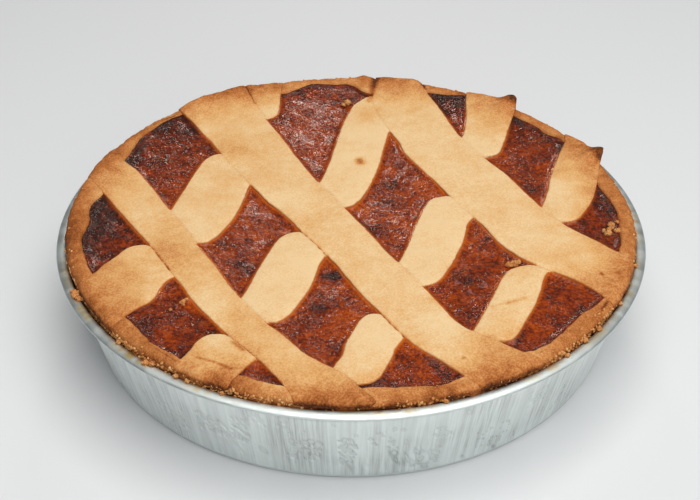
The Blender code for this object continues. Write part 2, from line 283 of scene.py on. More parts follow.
def tin_inner_radius(height: Array) -> Array:
    """Measure the tin's inside.

    Args:
        height: where to measure.

    Returns:
        Its radius there.
    """
    top = TIN_RADIUS - TinSizes.bead_width
    slope = (top - TinSizes.base_radius + TinSizes.wall) / (TIN_HEIGHT - TinSizes.corner)
    return top - (TIN_HEIGHT - height) * slope


def grid_faces(rows: int, columns: int, start: int = 0, wrap: bool = False) -> list[tuple]:
    """Faces of a grid of points stored row after row.

    Args:
        rows: how many rows.
        columns: how many points a row has.
        start: index of the first point.
        wrap: whether the last column joins the first.

    Returns:
        Corner indices of each four-sided face.
    """
    faces = []
    for base in range(start, start + (rows - 1) * columns, columns):
        for j in range(columns if wrap else columns - 1):
            k = (j + 1) % columns
            faces.append((base + j, base + k, base + columns + k, base + columns + j))
    return faces


def turned_faces(rows: int, steps: int) -> list[tuple]:
    """Faces of a turned form, closed at its first and its last row."""
    last = (rows - 1) * steps
    return [*grid_faces(rows, steps, wrap=True), tuple(range(steps)), tuple(range(last, last + steps))]


def border(rows: int, columns: int) -> Array:
    """Go round the border of a grid.

    Args:
        rows: how many rows it has.
        columns: how many points a row has.

    Returns:
        The indices of its border, in order.
    """
    right = np.arange(1, rows) * columns + columns - 1
    last = (rows - 1) * columns + np.arange(columns - 2, -1, -1)
    return np.concatenate((np.arange(columns), right, last, np.arange(rows - 2, 0, -1) * columns))


def following_rings(first: list, start: int, count: int) -> list[list]:
    """A ring of corner indices and those after it, whose points are stored from start on."""
    size = len(first)
    return [first] + [list(range(start + i * size, start + (i + 1) * size)) for i in range(count)]


def wall_faces(rings: list[list]) -> list[tuple]:
    """Join rings that lie one below the other.

    Args:
        rings: corner indices of each.

    Returns:
        Corner indices of each four-sided face between them.
    """
    faces = []
    for above, below in zip(rings, rings[1:]):
        for j in range(len(above)):
            k = (j + 1) % len(above)
            faces.append((above[j], below[j], below[k], above[k]))
    return faces


def link(name: str, data: bpy.types.ID) -> Item:
    """Make an object and put it in the scene.

    Args:
        name: its name.
        data: its mesh, light or camera.

    Returns:
        The object.
    """
    item = bpy.data.objects.new(name, data)
    bpy.context.scene.collection.objects.link(item)
    return item


def new_piece(name: str, points: Array, faces: list, marks: dict) -> Item:
    """Make a closed, smooth mesh object.

    Args:
        name: the object's name.
        points: places in millimetres.
        faces: corner indices of each face.
        marks: values at each point, by the name of their attribute.

    Returns:
        The linked object.
    """
    mesh = bpy.data.meshes.new(name)
    mesh.from_pydata((points * MM).tolist(), [], faces)
    for mark, values in marks.items():
        attribute = mesh.attributes.new(mark, "FLOAT", "POINT")
        attribute.data.foreach_set("value", np.clip(values, 0, 1).astype(np.float32))
    shape = bmesh.new()
    shape.from_mesh(mesh)
    bmesh.ops.recalc_face_normals(shape, faces=shape.faces[:])
    shape.to_mesh(mesh)
    shape.free()
    return link(name, mesh)


def hand_over(item: Item, material: Material, slot: str, *nodes: str) -> Item:
    """Dress a piece and hand it to the frame.

    Args:
        item: the finished piece.
        material: its material.
        slot: the record's material slot; not used.
        nodes: the solids that it stands for.

    Returns:
        The same piece.
    """
    item.data.shade_smooth()
    if not item.data.materials:
        item.data.materials.append(material)
    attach(item, BODY)
    if nodes:
        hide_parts(*nodes)
    LOG.info("%s: %d points, %d faces", item.name, len(item.data.vertices), len(item.data.polygons))
    return item


# ---- shader tools


class Wire:
    """A node's output. Reckoning with it adds Math nodes."""

    def __init__(self, sheet: "NodeSheet", socket: Socket) -> None:
        """Keep the output and the sheet that its node is on."""
        self.sheet = sheet
        self.socket = socket

    def __add__(self, other: "Wire | float") -> "Wire":
        """Sum."""
        return self.sheet.math("ADD", self, other)

    def __sub__(self, other: "Wire | float") -> "Wire":
        """Difference."""
        return self.sheet.math("SUBTRACT", self, other)

    def __rsub__(self, other: float) -> "Wire":
        """Difference from a number."""
        return self.sheet.math("SUBTRACT", other, self)

    def __mul__(self, other: "Wire | float") -> "Wire":
        """Product."""
        return self.sheet.math("MULTIPLY", self, other)


Value = Wire | Socket | float | int | str | tuple


class NodeSheet:
    """A material's or a group's node tree, with short ways to add to it."""

    def __init__(self, tree: bpy.types.NodeTree) -> None:
        """Keep the tree."""
        self.tree = tree

    def add(self, kind: str, inputs: dict | None = None, **settings: Value) -> bpy.types.Node:
        """Add a node.

        Args:
            kind: Blender's type name.
            inputs: values or outputs to read, by input name or number.
            settings: the node's own properties.

        Returns:
            The node.
        """
        node = self.tree.nodes.new(kind)
        for name, value in settings.items():
            setattr(node, name, value)
        self.fill(node, inputs or {})
        return node

    def fill(self, node: bpy.types.Node, inputs: dict) -> None:
        """Set or link several inputs of a node."""
        for name, value in inputs.items():
            self.feed(node.inputs[name], value)

    def wire(self, kind: str, inputs: dict, output: int | str = 0, **settings: Value) -> Wire:
        """Add a node and take one of its outputs."""
        return Wire(self, self.add(kind, inputs, **settings).outputs[output])

    def feed(self, socket: Socket, value: Value) -> None:
        """Link a socket, or set its value.

        Args:
            socket: the input.
            value: an output to link, or the value.
        """
        if isinstance(value, Wire):
            self.tree.links.new(value.socket, socket)
        elif isinstance(value, Socket):
            self.tree.links.new(value, socket)
        else:
            socket.default_value = value

    def math(self, operation: str, a: Value, b: Value) -> Wire:
        """Result of a Math node."""
        return self.wire("ShaderNodeMath", {0: a, 1: b}, operation=operation)

    def vector(self, operation: str, a: Value, b: Value = (0.0, 0.0, 0.0)) -> Wire:
        """Result of a Vector Math node."""
        return self.wire("ShaderNodeVectorMath", {0: a, 1: b}, operation=operation)

    def mix(self, factor: Value, a: Value, b: Value) -> Wire:
        """Mix of two colours."""
        return self.wire("ShaderNodeMix", {0: factor, 6: a, 7: b}, 2, data_type="RGBA")

    def ramp(self, value: Value, stops: tuple) -> Wire:
        """Colour ramp.

        Args:
            value: what it reads.
            stops: (position, colour) from low to high.

        Returns:
            The ramp's colour.
        """
        node = self.add("ShaderNodeValToRGB", {0: value})
        elements = node.color_ramp.elements
        while len(elements) < len(stops):
            elements.new(0.5)
        for element, (position, colour) in zip(elements, stops):
            element.position = position
            element.color = (*colour, 1.0)
        return Wire(self, node.outputs[0])

    def span(self, value: Value, low: float, high: float, to_low: float = 0.0,
             to_high: float = 1.0) -> Wire:
        """Map a value's range to another, smoothly and clamped."""
        ends = {0: value, 1: low, 2: high, 3: to_low, 4: to_high}
        return self.wire("ShaderNodeMapRange", ends, interpolation_type="SMOOTHSTEP")

    def noise(self, place: Value, size: float, detail: float = 2.0, rough: float = 0.5) -> Wire:
        """Noise with swells of about the size given in millimetres."""
        inputs = {"Vector": place, "Scale": 1 / (size * MM), "Detail": detail, "Roughness": rough}
        return self.wire("ShaderNodeTexNoise", inputs)

    def scale(self, swells: Value, share: float = 1.0) -> Wire:
        """Texture scale for swells given in millimetres by a socket."""
        return self.math("DIVIDE", share / MM, swells)

    def bump(self, height: Value, relief: float) -> Wire:
        """Normal of a rough surface, with its relief given in millimetres."""
        return self.wire("ShaderNodeBump", {"Strength": 1.0, "Distance": relief * MM, "Height": height})

    def place(self) -> Wire:
        """The piece's own coordinates, in metres."""
        return self.wire("ShaderNodeTexCoord", {}, "Object")

    def mark(self, name: str) -> Wire:
        """A value kept at the mesh's points."""
        return self.wire("ShaderNodeAttribute", {}, "Fac", attribute_name=name)


class SurfaceGroup:
    """A shader node group that several finishes use, with values in and values out."""

    def __init__(self, name: str, inputs: dict) -> None:
        """Start the group.

        Args:
            name: the group's name.
            inputs: start values by input name.
        """
        self.tree = bpy.data.node_groups.new(name, "ShaderNodeTree")
        for label, value in inputs.items():
            kind = "NodeSocketVector" if isinstance(value, tuple) else "NodeSocketFloat"
            socket = self.tree.interface.new_socket(name=label, in_out="INPUT", socket_type=kind)
            socket.default_value = value
        self.sheet = NodeSheet(self.tree)
        self.given = self.sheet.add("NodeGroupInput").outputs
        self.result = self.sheet.add("NodeGroupOutput")

    def put_out(self, **values: Wire) -> None:
        """Give the group its outputs.

        Args:
            values: what each puts out, by name.
        """
        for label, value in values.items():
            self.tree.interface.new_socket(name=label, in_out="OUTPUT", socket_type="NodeSocketFloat")
            self.sheet.feed(self.result.inputs[label], value)

    def use(self, sheet: NodeSheet, **inputs: Value) -> dict[str, Wire]:
        """Place the group in a material with its own values.

        Args:
            sheet: the material's sheet.
            inputs: values by input name.

        Returns:
            Its outputs by name.
        """
        node = sheet.add("ShaderNodeGroup", node_tree=self.tree)
        sheet.fill(node, inputs)
        return {socket.name: Wire(sheet, socket) for socket in node.outputs}


class Groups:
    """The node groups that the finishes share, each built once."""

    def __init__(self) -> None:
        """Build the groups."""
        self.grain = self.sandy_grain()
        self.patchy = self.uneven_patches()

    @staticmethod
    def sandy_grain() -> SurfaceGroup:
        """Grain of baked shortcrust.

        Returns:
            The group, which puts out its height, its pores and its toasted specks.
        """
        group = SurfaceGroup("sandy_grain", {"Place": (0.0, 0.0, 0.0), "Grain": 0.5, "Lumps": 2.4})
        sheet = group.sheet
        place, lumps = group.given["Place"], group.given["Lumps"]
        fine = sheet.wire("ShaderNodeTexNoise", {"Vector": place, "Detail": 3.0, "Roughness": 0.6,
                                                 "Scale": sheet.scale(group.given["Grain"])})
        broad = sheet.wire("ShaderNodeTexNoise", {"Vector": place, "Detail": 2.0, "Roughness": 0.5,
                                                  "Scale": sheet.scale(lumps)})
        pores = sheet.wire("ShaderNodeTexVoronoi", {"Vector": place, "Randomness": 1.0,
                                                    "Scale": sheet.scale(lumps, 0.45)}, "Distance")
        pit = sheet.span(pores, 0.04, 0.15, 1.0, 0.0)
        group.put_out(Height=fine * 0.75 + broad * 0.8 - pit * 0.25, Pores=pit,
                      Specks=sheet.span(fine, 0.35, 0.65, -1.0, 1.0))
        return group

    @staticmethod
    def uneven_patches() -> SurfaceGroup:
        """Patches at two sizes.

        Returns:
            The group, whose value goes from 0 to 1 and is about 0.5 on average.
        """
        start = {"Place": (0.0, 0.0, 0.0), "Large": 18.0, "Small": 4.0, "Share": 0.5}
        group = SurfaceGroup("patchy", start)
        large, small = [group.sheet.wire("ShaderNodeTexNoise", {
            "Vector": group.given["Place"], "Detail": 2.0,
            "Scale": group.sheet.scale(group.given[label])}) for label in ("Large", "Small")]
        share = Wire(group.sheet, group.given["Share"])
        group.put_out(Value=large * (1.0 - share) + small * share)
        return group


def new_material(name: str) -> tuple[Material, NodeSheet, bpy.types.Node]:
    """Start a material.

    Args:
        name: its name.

    Returns:
        The material, its sheet and its Principled shader.
    """
    material = bpy.data.materials.new(name)
    material.use_nodes = True
    return material, NodeSheet(material.node_tree), material.node_tree.nodes["Principled BSDF"]


# ---- finishes


@dataclass(frozen=True)
class PastryFinish:
    """Shortcrust that browns from pale gold to dark brown with its browning mark, which also carries painted
    shade.
    """

    groups: Groups
    kind: PastryKind
    grain: float = 0.75
    lumps: float = 2.6
    relief: float = 0.22
    patch: float = 16.0
    small_patch: float = 3.5
    stops: tuple = ((0.0, (0.850, 0.606, 0.328)), (0.28, (0.755, 0.417, 0.156)),
                    (0.55, (0.55, 0.205, 0.058)), (0.78, (0.32, 0.090, 0.019)),
                    (1.0, (0.085, 0.024, 0.008)))
    stain: tuple = (0.46, 0.10, 0.010, 1.0)

    def build(self) -> Material:
        """Build the material.

        Returns:
            The baked pastry of this kind.
        """
        material, sheet, shader = new_material(self.kind.value)
        place = sheet.place()
        grain = self.groups.grain.use(sheet, Place=place, Grain=self.grain, Lumps=self.lumps)
        patches = self.groups.patchy.use(sheet, Place=place, Large=self.patch, Small=self.small_patch,
                                         Share=0.5)["Value"]
        browning_and_shade = sheet.mark("browning_and_shade")
        uneven = (patches - 0.5) * (browning_and_shade * 0.30 + 0.42)
        specks = grain["Specks"] * (browning_and_shade * 0.02 + 0.08)
        pores = grain["Pores"] * (browning_and_shade * 0.08 + 0.04)
        browned = sheet.ramp(browning_and_shade + uneven + specks + pores, self.stops)
        sheet.fill(shader, {"Base Color": sheet.mix(sheet.mark("stain"), browned, self.stain),
                            "Roughness": 0.75, "Specular IOR Level": 0.12,
                            "Normal": sheet.bump(grain["Height"], self.relief)})
        return material


@dataclass(frozen=True)
class CustardFinish:
    """Glossy caramelised filling that darkens with the mark named char and glows at the strips."""

    groups: Groups
    patch: float = 9.0
    small_patch: float = 2.6
    fleck: float = 1.1
    bubble_zone: float = 7.0
    blister: float = 1.6
    fine: float = 0.85
    medium: float = 2.2
    shine_zone: float = 4.0
    relief: float = 0.5
    stops: tuple = ((0.0, (0.42, 0.072, 0.006)), (0.30, (0.27, 0.037, 0.005)),
                    (0.58, (0.135, 0.018, 0.005)), (0.82, (0.055, 0.010, 0.005)),
                    (1.0, (0.030, 0.009, 0.005)))
    glow: tuple = (0.60, 0.13, 0.010, 1.0)

    def build(self) -> Material:
        """Build the material.

        Returns:
            The glossy filling.
        """
        material, sheet, shader = new_material("filling")
        place = sheet.place()
        char = sheet.mark("char")
        patches = self.groups.patchy.use(sheet, Place=place, Large=self.patch, Small=self.small_patch,
                                         Share=0.45)["Value"]
        bubbly = sheet.span(sheet.noise(place, self.bubble_zone), 0.46, 0.60)
        flecks = sheet.span(sheet.noise(place, self.fleck, 2.0, 0.6), 0.36, 0.66, -0.18, 0.22)
        charred = sheet.ramp(char + (patches - 0.5) * 1.6 + flecks + bubbly * 0.10, self.stops)
        domes = sheet.wire("ShaderNodeTexVoronoi", {
            "Vector": place, "Smoothness": 0.5, "Scale": 1 / (self.blister * MM)}, "Distance",
            feature="SMOOTH_F1")
        ripple = sheet.noise(place, self.fine, 1.0, 0.5) * (bubbly * 0.35 + 0.3)
        height = (1.0 - domes) * bubbly * 0.45 + ripple + sheet.noise(place, self.medium, 1.0, 0.4) * 0.3
        dull = sheet.span(char, 0.45, 0.85, 0.0, 0.10)
        shine = sheet.span(sheet.noise(place, self.shine_zone), 0.38, 0.62, 0.10, 0.28)
        sheet.fill(shader, {"Base Color": sheet.mix(sheet.mark("glow"), charred, self.glow),
                            "Roughness": dull + shine, "Specular IOR Level": 0.29,
                            "Normal": sheet.bump(height, self.relief)})
        return material


@dataclass(frozen=True)
class AluminiumFinish:
    """Bare drawn aluminium, matt with fine upright streaks that follow the flare."""

    groups: Groups
    colour: tuple = (0.87, 0.93, 0.91)
    darkest: float = 0.58  # share of the colour in the darkest streaks
    butter: tuple = (0.66, 0.50, 0.20, 1.0)
    # colour of the painted shade under the bead and in the dents and pits
    painted_shade_colour: tuple = (0.09, 0.10, 0.10, 1.0)
    turn_radius: float = 0.115  # the streaks are drawn on a drum of this radius in metres
    stretch: float = 0.035  # what is left of the height there, which makes them upright
    streak: float = 0.8
    wide_streak: float = 3.0
    broad: float = 5.0
    zone: float = 26.0
    patch: float = 20.0
    small_patch: float = 1.6
    relief: float = 0.26

    def build(self) -> Material:
        """Build the material.

        Returns:
            The tin's aluminium.
        """
        material, sheet, shader = new_material("tin")
        place = sheet.place()
        parts = sheet.add("ShaderNodeSeparateXYZ", {0: place}).outputs
        level = sheet.wire("ShaderNodeCombineXYZ", {0: parts[0], 1: parts[1]})
        on_drum = sheet.vector("MULTIPLY", sheet.vector("NORMALIZE", level), (self.turn_radius,) * 3)
        height = sheet.wire("ShaderNodeCombineXYZ", {2: sheet.math("MULTIPLY", parts[2], self.stretch)})
        upright = sheet.vector("ADD", on_drum, height)
        fine = sheet.noise(upright, self.streak, 3.0, 0.6)
        wide = sheet.span(sheet.noise(upright, self.wide_streak), 0.38, 0.62)
        wall = sheet.mark("wall")
        bead = 1.0 - wall
        patches = self.groups.patchy.use(sheet, Place=place, Large=self.patch, Small=self.small_patch,
                                         Share=0.5)["Value"]
        streaked = sheet.span(sheet.noise(place, self.zone), 0.40, 0.60, 0.25, 1.0) * wall
        streaks = sheet.span(fine, 0.35, 0.68) * streaked
        tone = streaks * 0.58 + wide * wall * 0.22 + patches * 0.26 + bead * 0.30
        dark = tuple(self.darkest * value for value in self.colour)
        metal = sheet.mix(tone, (*self.colour, 1.0), (*dark, 1.0))
        buttered = sheet.mix(sheet.mark("butter"), metal, self.butter)
        rough = sheet.span(sheet.noise(upright, self.broad), 0.35, 0.7, 0.30, 0.44)
        # painted shade: dark colour mixed in under the bead, on its lower side and in the dents and pits
        sheet.fill(shader, {"Base Color": sheet.mix(sheet.mark("painted_shade") * 0.85, buttered, self.painted_shade_colour),
                            "Roughness": rough + bead * 0.17 + streaks * 0.12, "Metallic": 1.0,
                            "Normal": sheet.bump(fine * streaked + patches * 0.25, self.relief)})
        return material


# ---- the shared form


@dataclass(frozen=True)
class TinSizes:
    """Sizes of the tin, as in the solids but for the bead, which is a little lower here."""

    base_radius: float = 108.0
    wall: float = 0.5
    corner: float = 3.0
    bead_width: float = 4.0
    bead_height: float = 2.1


@dataclass(frozen=True)
class Lid:
    """Top of the pie: its height, its uneven outer edge and the edge of its windows.

    The window edge is (azimuth, radius), and the other tables hold (azimuth, size, spread).
    """

    centre: float = 4.8
    edge: float = 5.6
    tilt: float = 1.4
    tilt_azimuth: float = 115.0
    edge_start: float = 88.0
    edge_blend: float = 28.0
    lift_start: float = 101.0
    lift_blend: float = 15.0
    swell: float = 0.35
    swell_length: float = 34.0
    rim_radius: float = 116.1
    end_lifts: tuple = ((20.3, 3.7, 2.6), (26, 1.6, 5), (49.3, 3.7, 2.6), (55, 1.4, 5),
                        (75, 0.8, 2.5), (79, 0.8, 6), (117, 1.2, 4), (127, 1.6, 8))
    rim_lifts: tuple = ((86.7, 1.7, 2.2), (128, 0.5, 3), (160, 0.4, 3))
    rim_lift_start: float = 106.0
    rim_lift_blend: float = 8.0
    edge_insets: tuple = ((208, 0.7, 14), (236, 0.5, 8), (318, 0.5, 10), (345, 0.4, 8), (12, 0.5, 8),
                          (45, 0.4, 10), (67, 0.4, 8))
    corner_reach: tuple = ((20.5, 3.0, 2.4), (49.5, 2.5, 2.4))
    overlap: float = 0.25  # how far a strip's end stands over the crust's lip
    window_edge: tuple = (
        (0, 108.5), (6, 106.8), (9, 106.1), (32, 110.3), (35, 108), (38, 108.9), (41, 108.3),
        (44, 108.1), (61, 111.9), (64, 109.1), (66, 108.1), (69, 107.7), (82, 101), (85, 100.5),
        (87.5, 103.5), (89, 106.8), (91, 109), (94, 108.4), (97, 109.2), (100, 110.1), (103, 107.3),
        (107, 104.5), (109, 104.8), (135, 111), (138, 111.7), (141, 111.4), (144, 111), (147, 110.8),
        (150, 109.6), (153, 107.9), (156, 106.7), (158, 105.9), (174.5, 104.2), (178, 106.6),
        (181, 107.3), (185, 105.8), (188, 107), (191, 108.7), (194, 108.8), (197, 108.5), (202, 108.4),
        (205, 107.9), (221, 108), (225, 108.8), (228, 109.7), (231, 111.3), (235, 112), (238, 112.2),
        (249, 109.1), (251, 108.8), (254, 109.8), (260, 110), (274, 108.2), (277, 109), (280, 109.4),
        (283, 110.2), (286, 111.5), (288, 110.4), (290, 109.6), (293, 108.3), (301, 104.8), (303, 106.8),
        (305, 109.3), (308, 110.2), (311, 109.8), (314, 109.1), (317, 108.5), (320, 108.1), (323, 109),
        (326, 110.3), (328, 110.3), (343, 108.5), (346, 108.8), (348, 109.2), (351, 108.4), (356, 108.6))

    def __post_init__(self) -> None:
        """Work out the swells once."""
        object.__setattr__(self, "swells", PlanField(4.0, self.solid_swells))

    def height(self, x: Array, y: Array) -> Array:
        """Top of the pastry without the lifted strip ends.

        Args:
            x: places over the plan.
            y: the same.

        Returns:
            The height, in the shape of x.
        """
        azimuth = azimuth_of(x, y)
        radius = np.hypot(x, y)
        edge = self.edge + self.tilt * np.cos(np.radians(azimuth - self.tilt_azimuth))
        blend = ease((radius - self.edge_start) / self.edge_blend)
        points = np.column_stack((np.ravel(x), np.ravel(y)))
        swell = self.swell * self.swells.at(points).reshape(np.shape(x))
        rim_blend = ease((radius - self.rim_lift_start) / self.rim_lift_blend)
        swell = swell + around(azimuth, self.rim_lifts) * rim_blend
        return TIN_HEIGHT + self.centre + (edge - self.centre) * blend + swell

    def solid_swells(self, points: Array) -> Array:
        """The same broad swells as the solids have."""
        depth = 0.7 / self.swell_length
        return np.array([noise.noise((x, y, depth)) for x, y in (points / self.swell_length).tolist()])

    def lift(self, x: Array, y: Array) -> Array:
        """How much a strip stands over the lid, where its end curls up."""
        blend = ease((np.hypot(x, y) - self.lift_start) / self.lift_blend)
        return around(azimuth_of(x, y), self.end_lifts) * blend

    def outer_radius(self, azimuth: Array, lifted: bool) -> Array:
        """Radius of the pastry's outer edge at its lip.

        Args:
            azimuth: where to read it.
            lifted: whether the curled strip ends count, which reach further out.

        Returns:
            The radius at each azimuth.
        """
        radius = self.rim_radius - around(azimuth, self.edge_insets)
        x, y = polar(radius, azimuth)
        radius = radius + 0.45 * flat_relief(x, y, 6.0, 3.1) + 0.25 * flat_relief(x, y, 2.2, 7.7)
        if lifted:
            radius = radius + self.overlap + around(azimuth, self.corner_reach)
        return radius

    def inside_lip(self, x: Array, y: Array) -> Array:
        """How far places lie inside the outline of the lip and the strips' ends."""
        return self.outer_radius(azimuth_of(x, y), True) - np.hypot(x, y)

    def window_radius(self, azimuth: Array) -> Array:
        """Radius of the rim's inner edge.

        Args:
            azimuth: where to read it.

        Returns:
            The radius, smoothed a little and roughened.
        """
        turns, edge = np.array(self.window_edge, float).T
        dense = np.arange(0, 360, 0.5)
        radius = np.interp(dense, turns, edge, period=360)
        radius = sum(np.roll(radius, shift) for shift in range(-2, 3)) / 5
        radius = np.interp(azimuth, dense, radius, period=360)
        x, y = polar(radius, azimuth)
        return radius + 0.35 * flat_relief(x, y, 3.5, 1.3)


@dataclass(frozen=True)
class StripPlan:
    """A strip as it is laid.

    Its stations are x, y and half width along its middle. Its trims are (distance along, inset) and
    make an edge uneven.
    """

    node: str
    layer: Layer
    stations: tuple
    left_trim: tuple
    right_trim: tuple


STRIP_PLANS = (
    StripPlan("strip_upper_a", Layer.UPPER, (
        (-114, 46, 11), (-99.5, 23, 10.4), (-78.4, -11, 9.5), (-58.6, -46, 8.6),
        (-42.9, -71.6, 8), (-23.7, -94.8, 7.7), (-10.5, -110, 11), (-3, -122, 13)),
        ((40, 0.3), (60, 0.5), (68, 0.5), (76, 1), (108, 0.9), (112, 1), (118, 0.3), (136, 1.1),
         (160, 1), (168, 0.8), (190, 1)),
        ((14, 2.7), (20, 1.9), (24, 0.4), (44, 0.3), (52, 0.8), (92, 0.6), (104, -0.1), (120, 0.2),
         (150, -0.3), (153, -0.9), (160, -0.6), (170, 0.3), (176, -0.2))),
    StripPlan("strip_upper_b", Layer.UPPER, (
        (-74, 112, 17.5), (-65.7, 94.8, 17), (-52.7, 67.6, 15.7), (-30, 22.9, 13.5),
        (-9.9, -11.6, 12.1), (9.9, -46.4, 11.3), (29.5, -80, 11), (45.5, -94.5, 12.4),
        (64, -109, 14.5)),
        ((28, -1.7), (32, -0.8), (36, 0), (48, 0.6), (57, 1.1), (60, 0.7), (104, 0.8), (110, 0.3),
         (120, 1.5), (128, 2), (136, 1.4), (164, 1.9), (178, 0.8), (190, 0.4), (196, 1), (220, 1.1),
         (228, 2.5), (234, 1.8)),
        ((52, -0.2), (60, -0.8), (84, -0.5), (100, -0.2), (136, -0.7), (156, -0.8), (166, -0.3),
         (196, -1), (204, -0.9), (216, 0), (224, 0.4))),
    StripPlan("strip_upper_c", Layer.UPPER, (
        (18.5, 125, 11.5), (22.5, 100.3, 13.8), (28, 80.6, 15.1), (37.1, 51.7, 15),
        (55.3, 16.1, 15.7), (68.6, -10.8, 15.3), (80.5, -27.4, 16.2), (95, -42.5, 14),
        (110, -62, 14)),
        ((0, 5.5), (10, 4.6), (20, 3), (26, 0.9), (34, 0.3), (68, 1.9), (76, 0.2), (88, 0.8),
         (100, 1.3), (114, 0.9), (140, 1.9), (148, 0.6), (152, 0.2), (160, 0.8), (178, 2.7), (196, 3.4)),
        ((28, 0), (60, 0.1), (102, 0), (110, -0.3), (116, 0), (124, 0.7), (132, 0.3), (164, 1),
         (172, 0.1), (178, -0.8), (186, -1.4))),
    StripPlan("strip_lower_1", Layer.LOWER, (
        (-42, 126, 10.5), (-44, 98, 10.7), (-48.5, 65, 12), (-54.5, 28, 13.6), (-60, -2, 13.9),
        (-67.5, -21, 13.6), (-77, -37, 14), (-87, -55, 14.6), (-101, -77, 13.5)),
        ((78, 0.8), (84, 1.3), (88, 1), (94, 0.9), (100, 0.6), (112, 0), (120, -0.5), (160, -0.4),
         (164, -1.4), (168, -0.8), (176, -0.6), (180, -1.2), (186, 0.1)),
        ((24, 0.6), (36, -0.6), (40, -0.9), (44, -1.5), (110, 1.2), (124, 0.8), (136, 1.4), (144, 1.9),
         (148, 0.6), (170, 0.9), (176, 2.7), (180, 2.3), (184, 1), (188, -0.1), (192, 1.2),
         (197, 1.7))),
    StripPlan("strip_lower_2", Layer.LOWER, (
        (22, 125, 11), (15.5, 97, 11.5), (8.3, 75, 11.4), (3.8, 51, 11.2), (0.6, 31, 11.4),
        (-5, 11.5, 11.2), (-18.8, -26, 11), (-24.2, -44.7, 11.3), (-29.5, -62, 11.2),
        (-37.5, -80, 11.2), (-46.5, -93.5, 12), (-59, -113, 12.5)),
        ((28, 1.5), (32, 0.5), (40, -0.4), (46, 0.3), (100, 0.1), (144, 0.2), (148, 0.7), (152, -0.3),
         (170, -0.8), (186, -0.5), (216, -0.3), (224, -0.9), (229, 0.4), (236, 1.7)),
        ((72, 0.3), (88, 0.4), (100, 1.1), (112, 1), (116, 1.4), (120, 1.4), (125, 0), (160, 0.5),
         (168, 1.2), (172, 0.9), (182, 0.3), (192, 1), (200, 1.8), (205, 0.8), (222, -0.4),
         (228, 0.7), (234, 0.7))),
    StripPlan("strip_lower_3", Layer.LOWER, (
        (71, 121, 12), (66.2, 89, 12.5), (62.5, 70, 10.8), (57.5, 50, 10.4), (45.5, 10, 10.4),
        (39, -7, 10.6), (32.6, -26.3, 10.8), (27, -44, 10.5), (13, -76, 9.7), (5, -93, 9.8),
        (-4, -123, 9.2)),
        ((28, 0.1), (38, 0.9), (54, 0.9), (112, 0.4), (117, 0.3), (120, -1.2), (128, -0.8),
         (140, -0.2), (156, 0.8), (164, 0.2), (200, -0.8), (204, -1.8), (210, -0.7), (222, 0.8),
         (228, 2.1), (232, 0.6)),
        ((44, 0.7), (60, 0.7), (68, 0.9), (76, 1.1), (80, 1.6), (84, 0.4), (128, 1), (132, 1.8),
         (136, 1.3), (146, 0.4), (160, 0.9), (164, 1.4), (168, 2), (176, 1.9), (181, 0.7), (212, 1.4),
         (216, 1.8), (222, 0.8), (232, 1.3), (238, 1.5))),
    StripPlan("strip_lower_4", Layer.LOWER, (
        (109, 71, 10), (103.3, 51.3, 10.4), (98, 32, 10.1), (93, 14.5, 10.7), (86.5, -4, 10.3),
        (74, -36, 8.9), (65.8, -51, 8.5), (60.7, -61, 8.4), (55, -74, 8.2), (48, -91, 8),
        (38, -120, 8)),
        ((8, 1), (20, 2.6), (24, 2.1), (30, 1.1), (44, 0.1), (52, 0.2), (60, 1.2), (68, 1.2), (116, 0.2),
         (120, 0.1), (124, -1), (132, -0.8), (140, 0), (148, 0.2), (160, -0.2)),
        ((60, 0.7), (66, 1.1), (70, 1.9), (76, 2.8), (84, 3.5), (88, 3.3), (114, 2), (120, 4.3),
         (124, 3.8), (128, 2.3), (132, 1.6), (140, 0.6), (146, 0.4), (154, 1.0), (160, 0.7),
         (165, -0.8))),
)


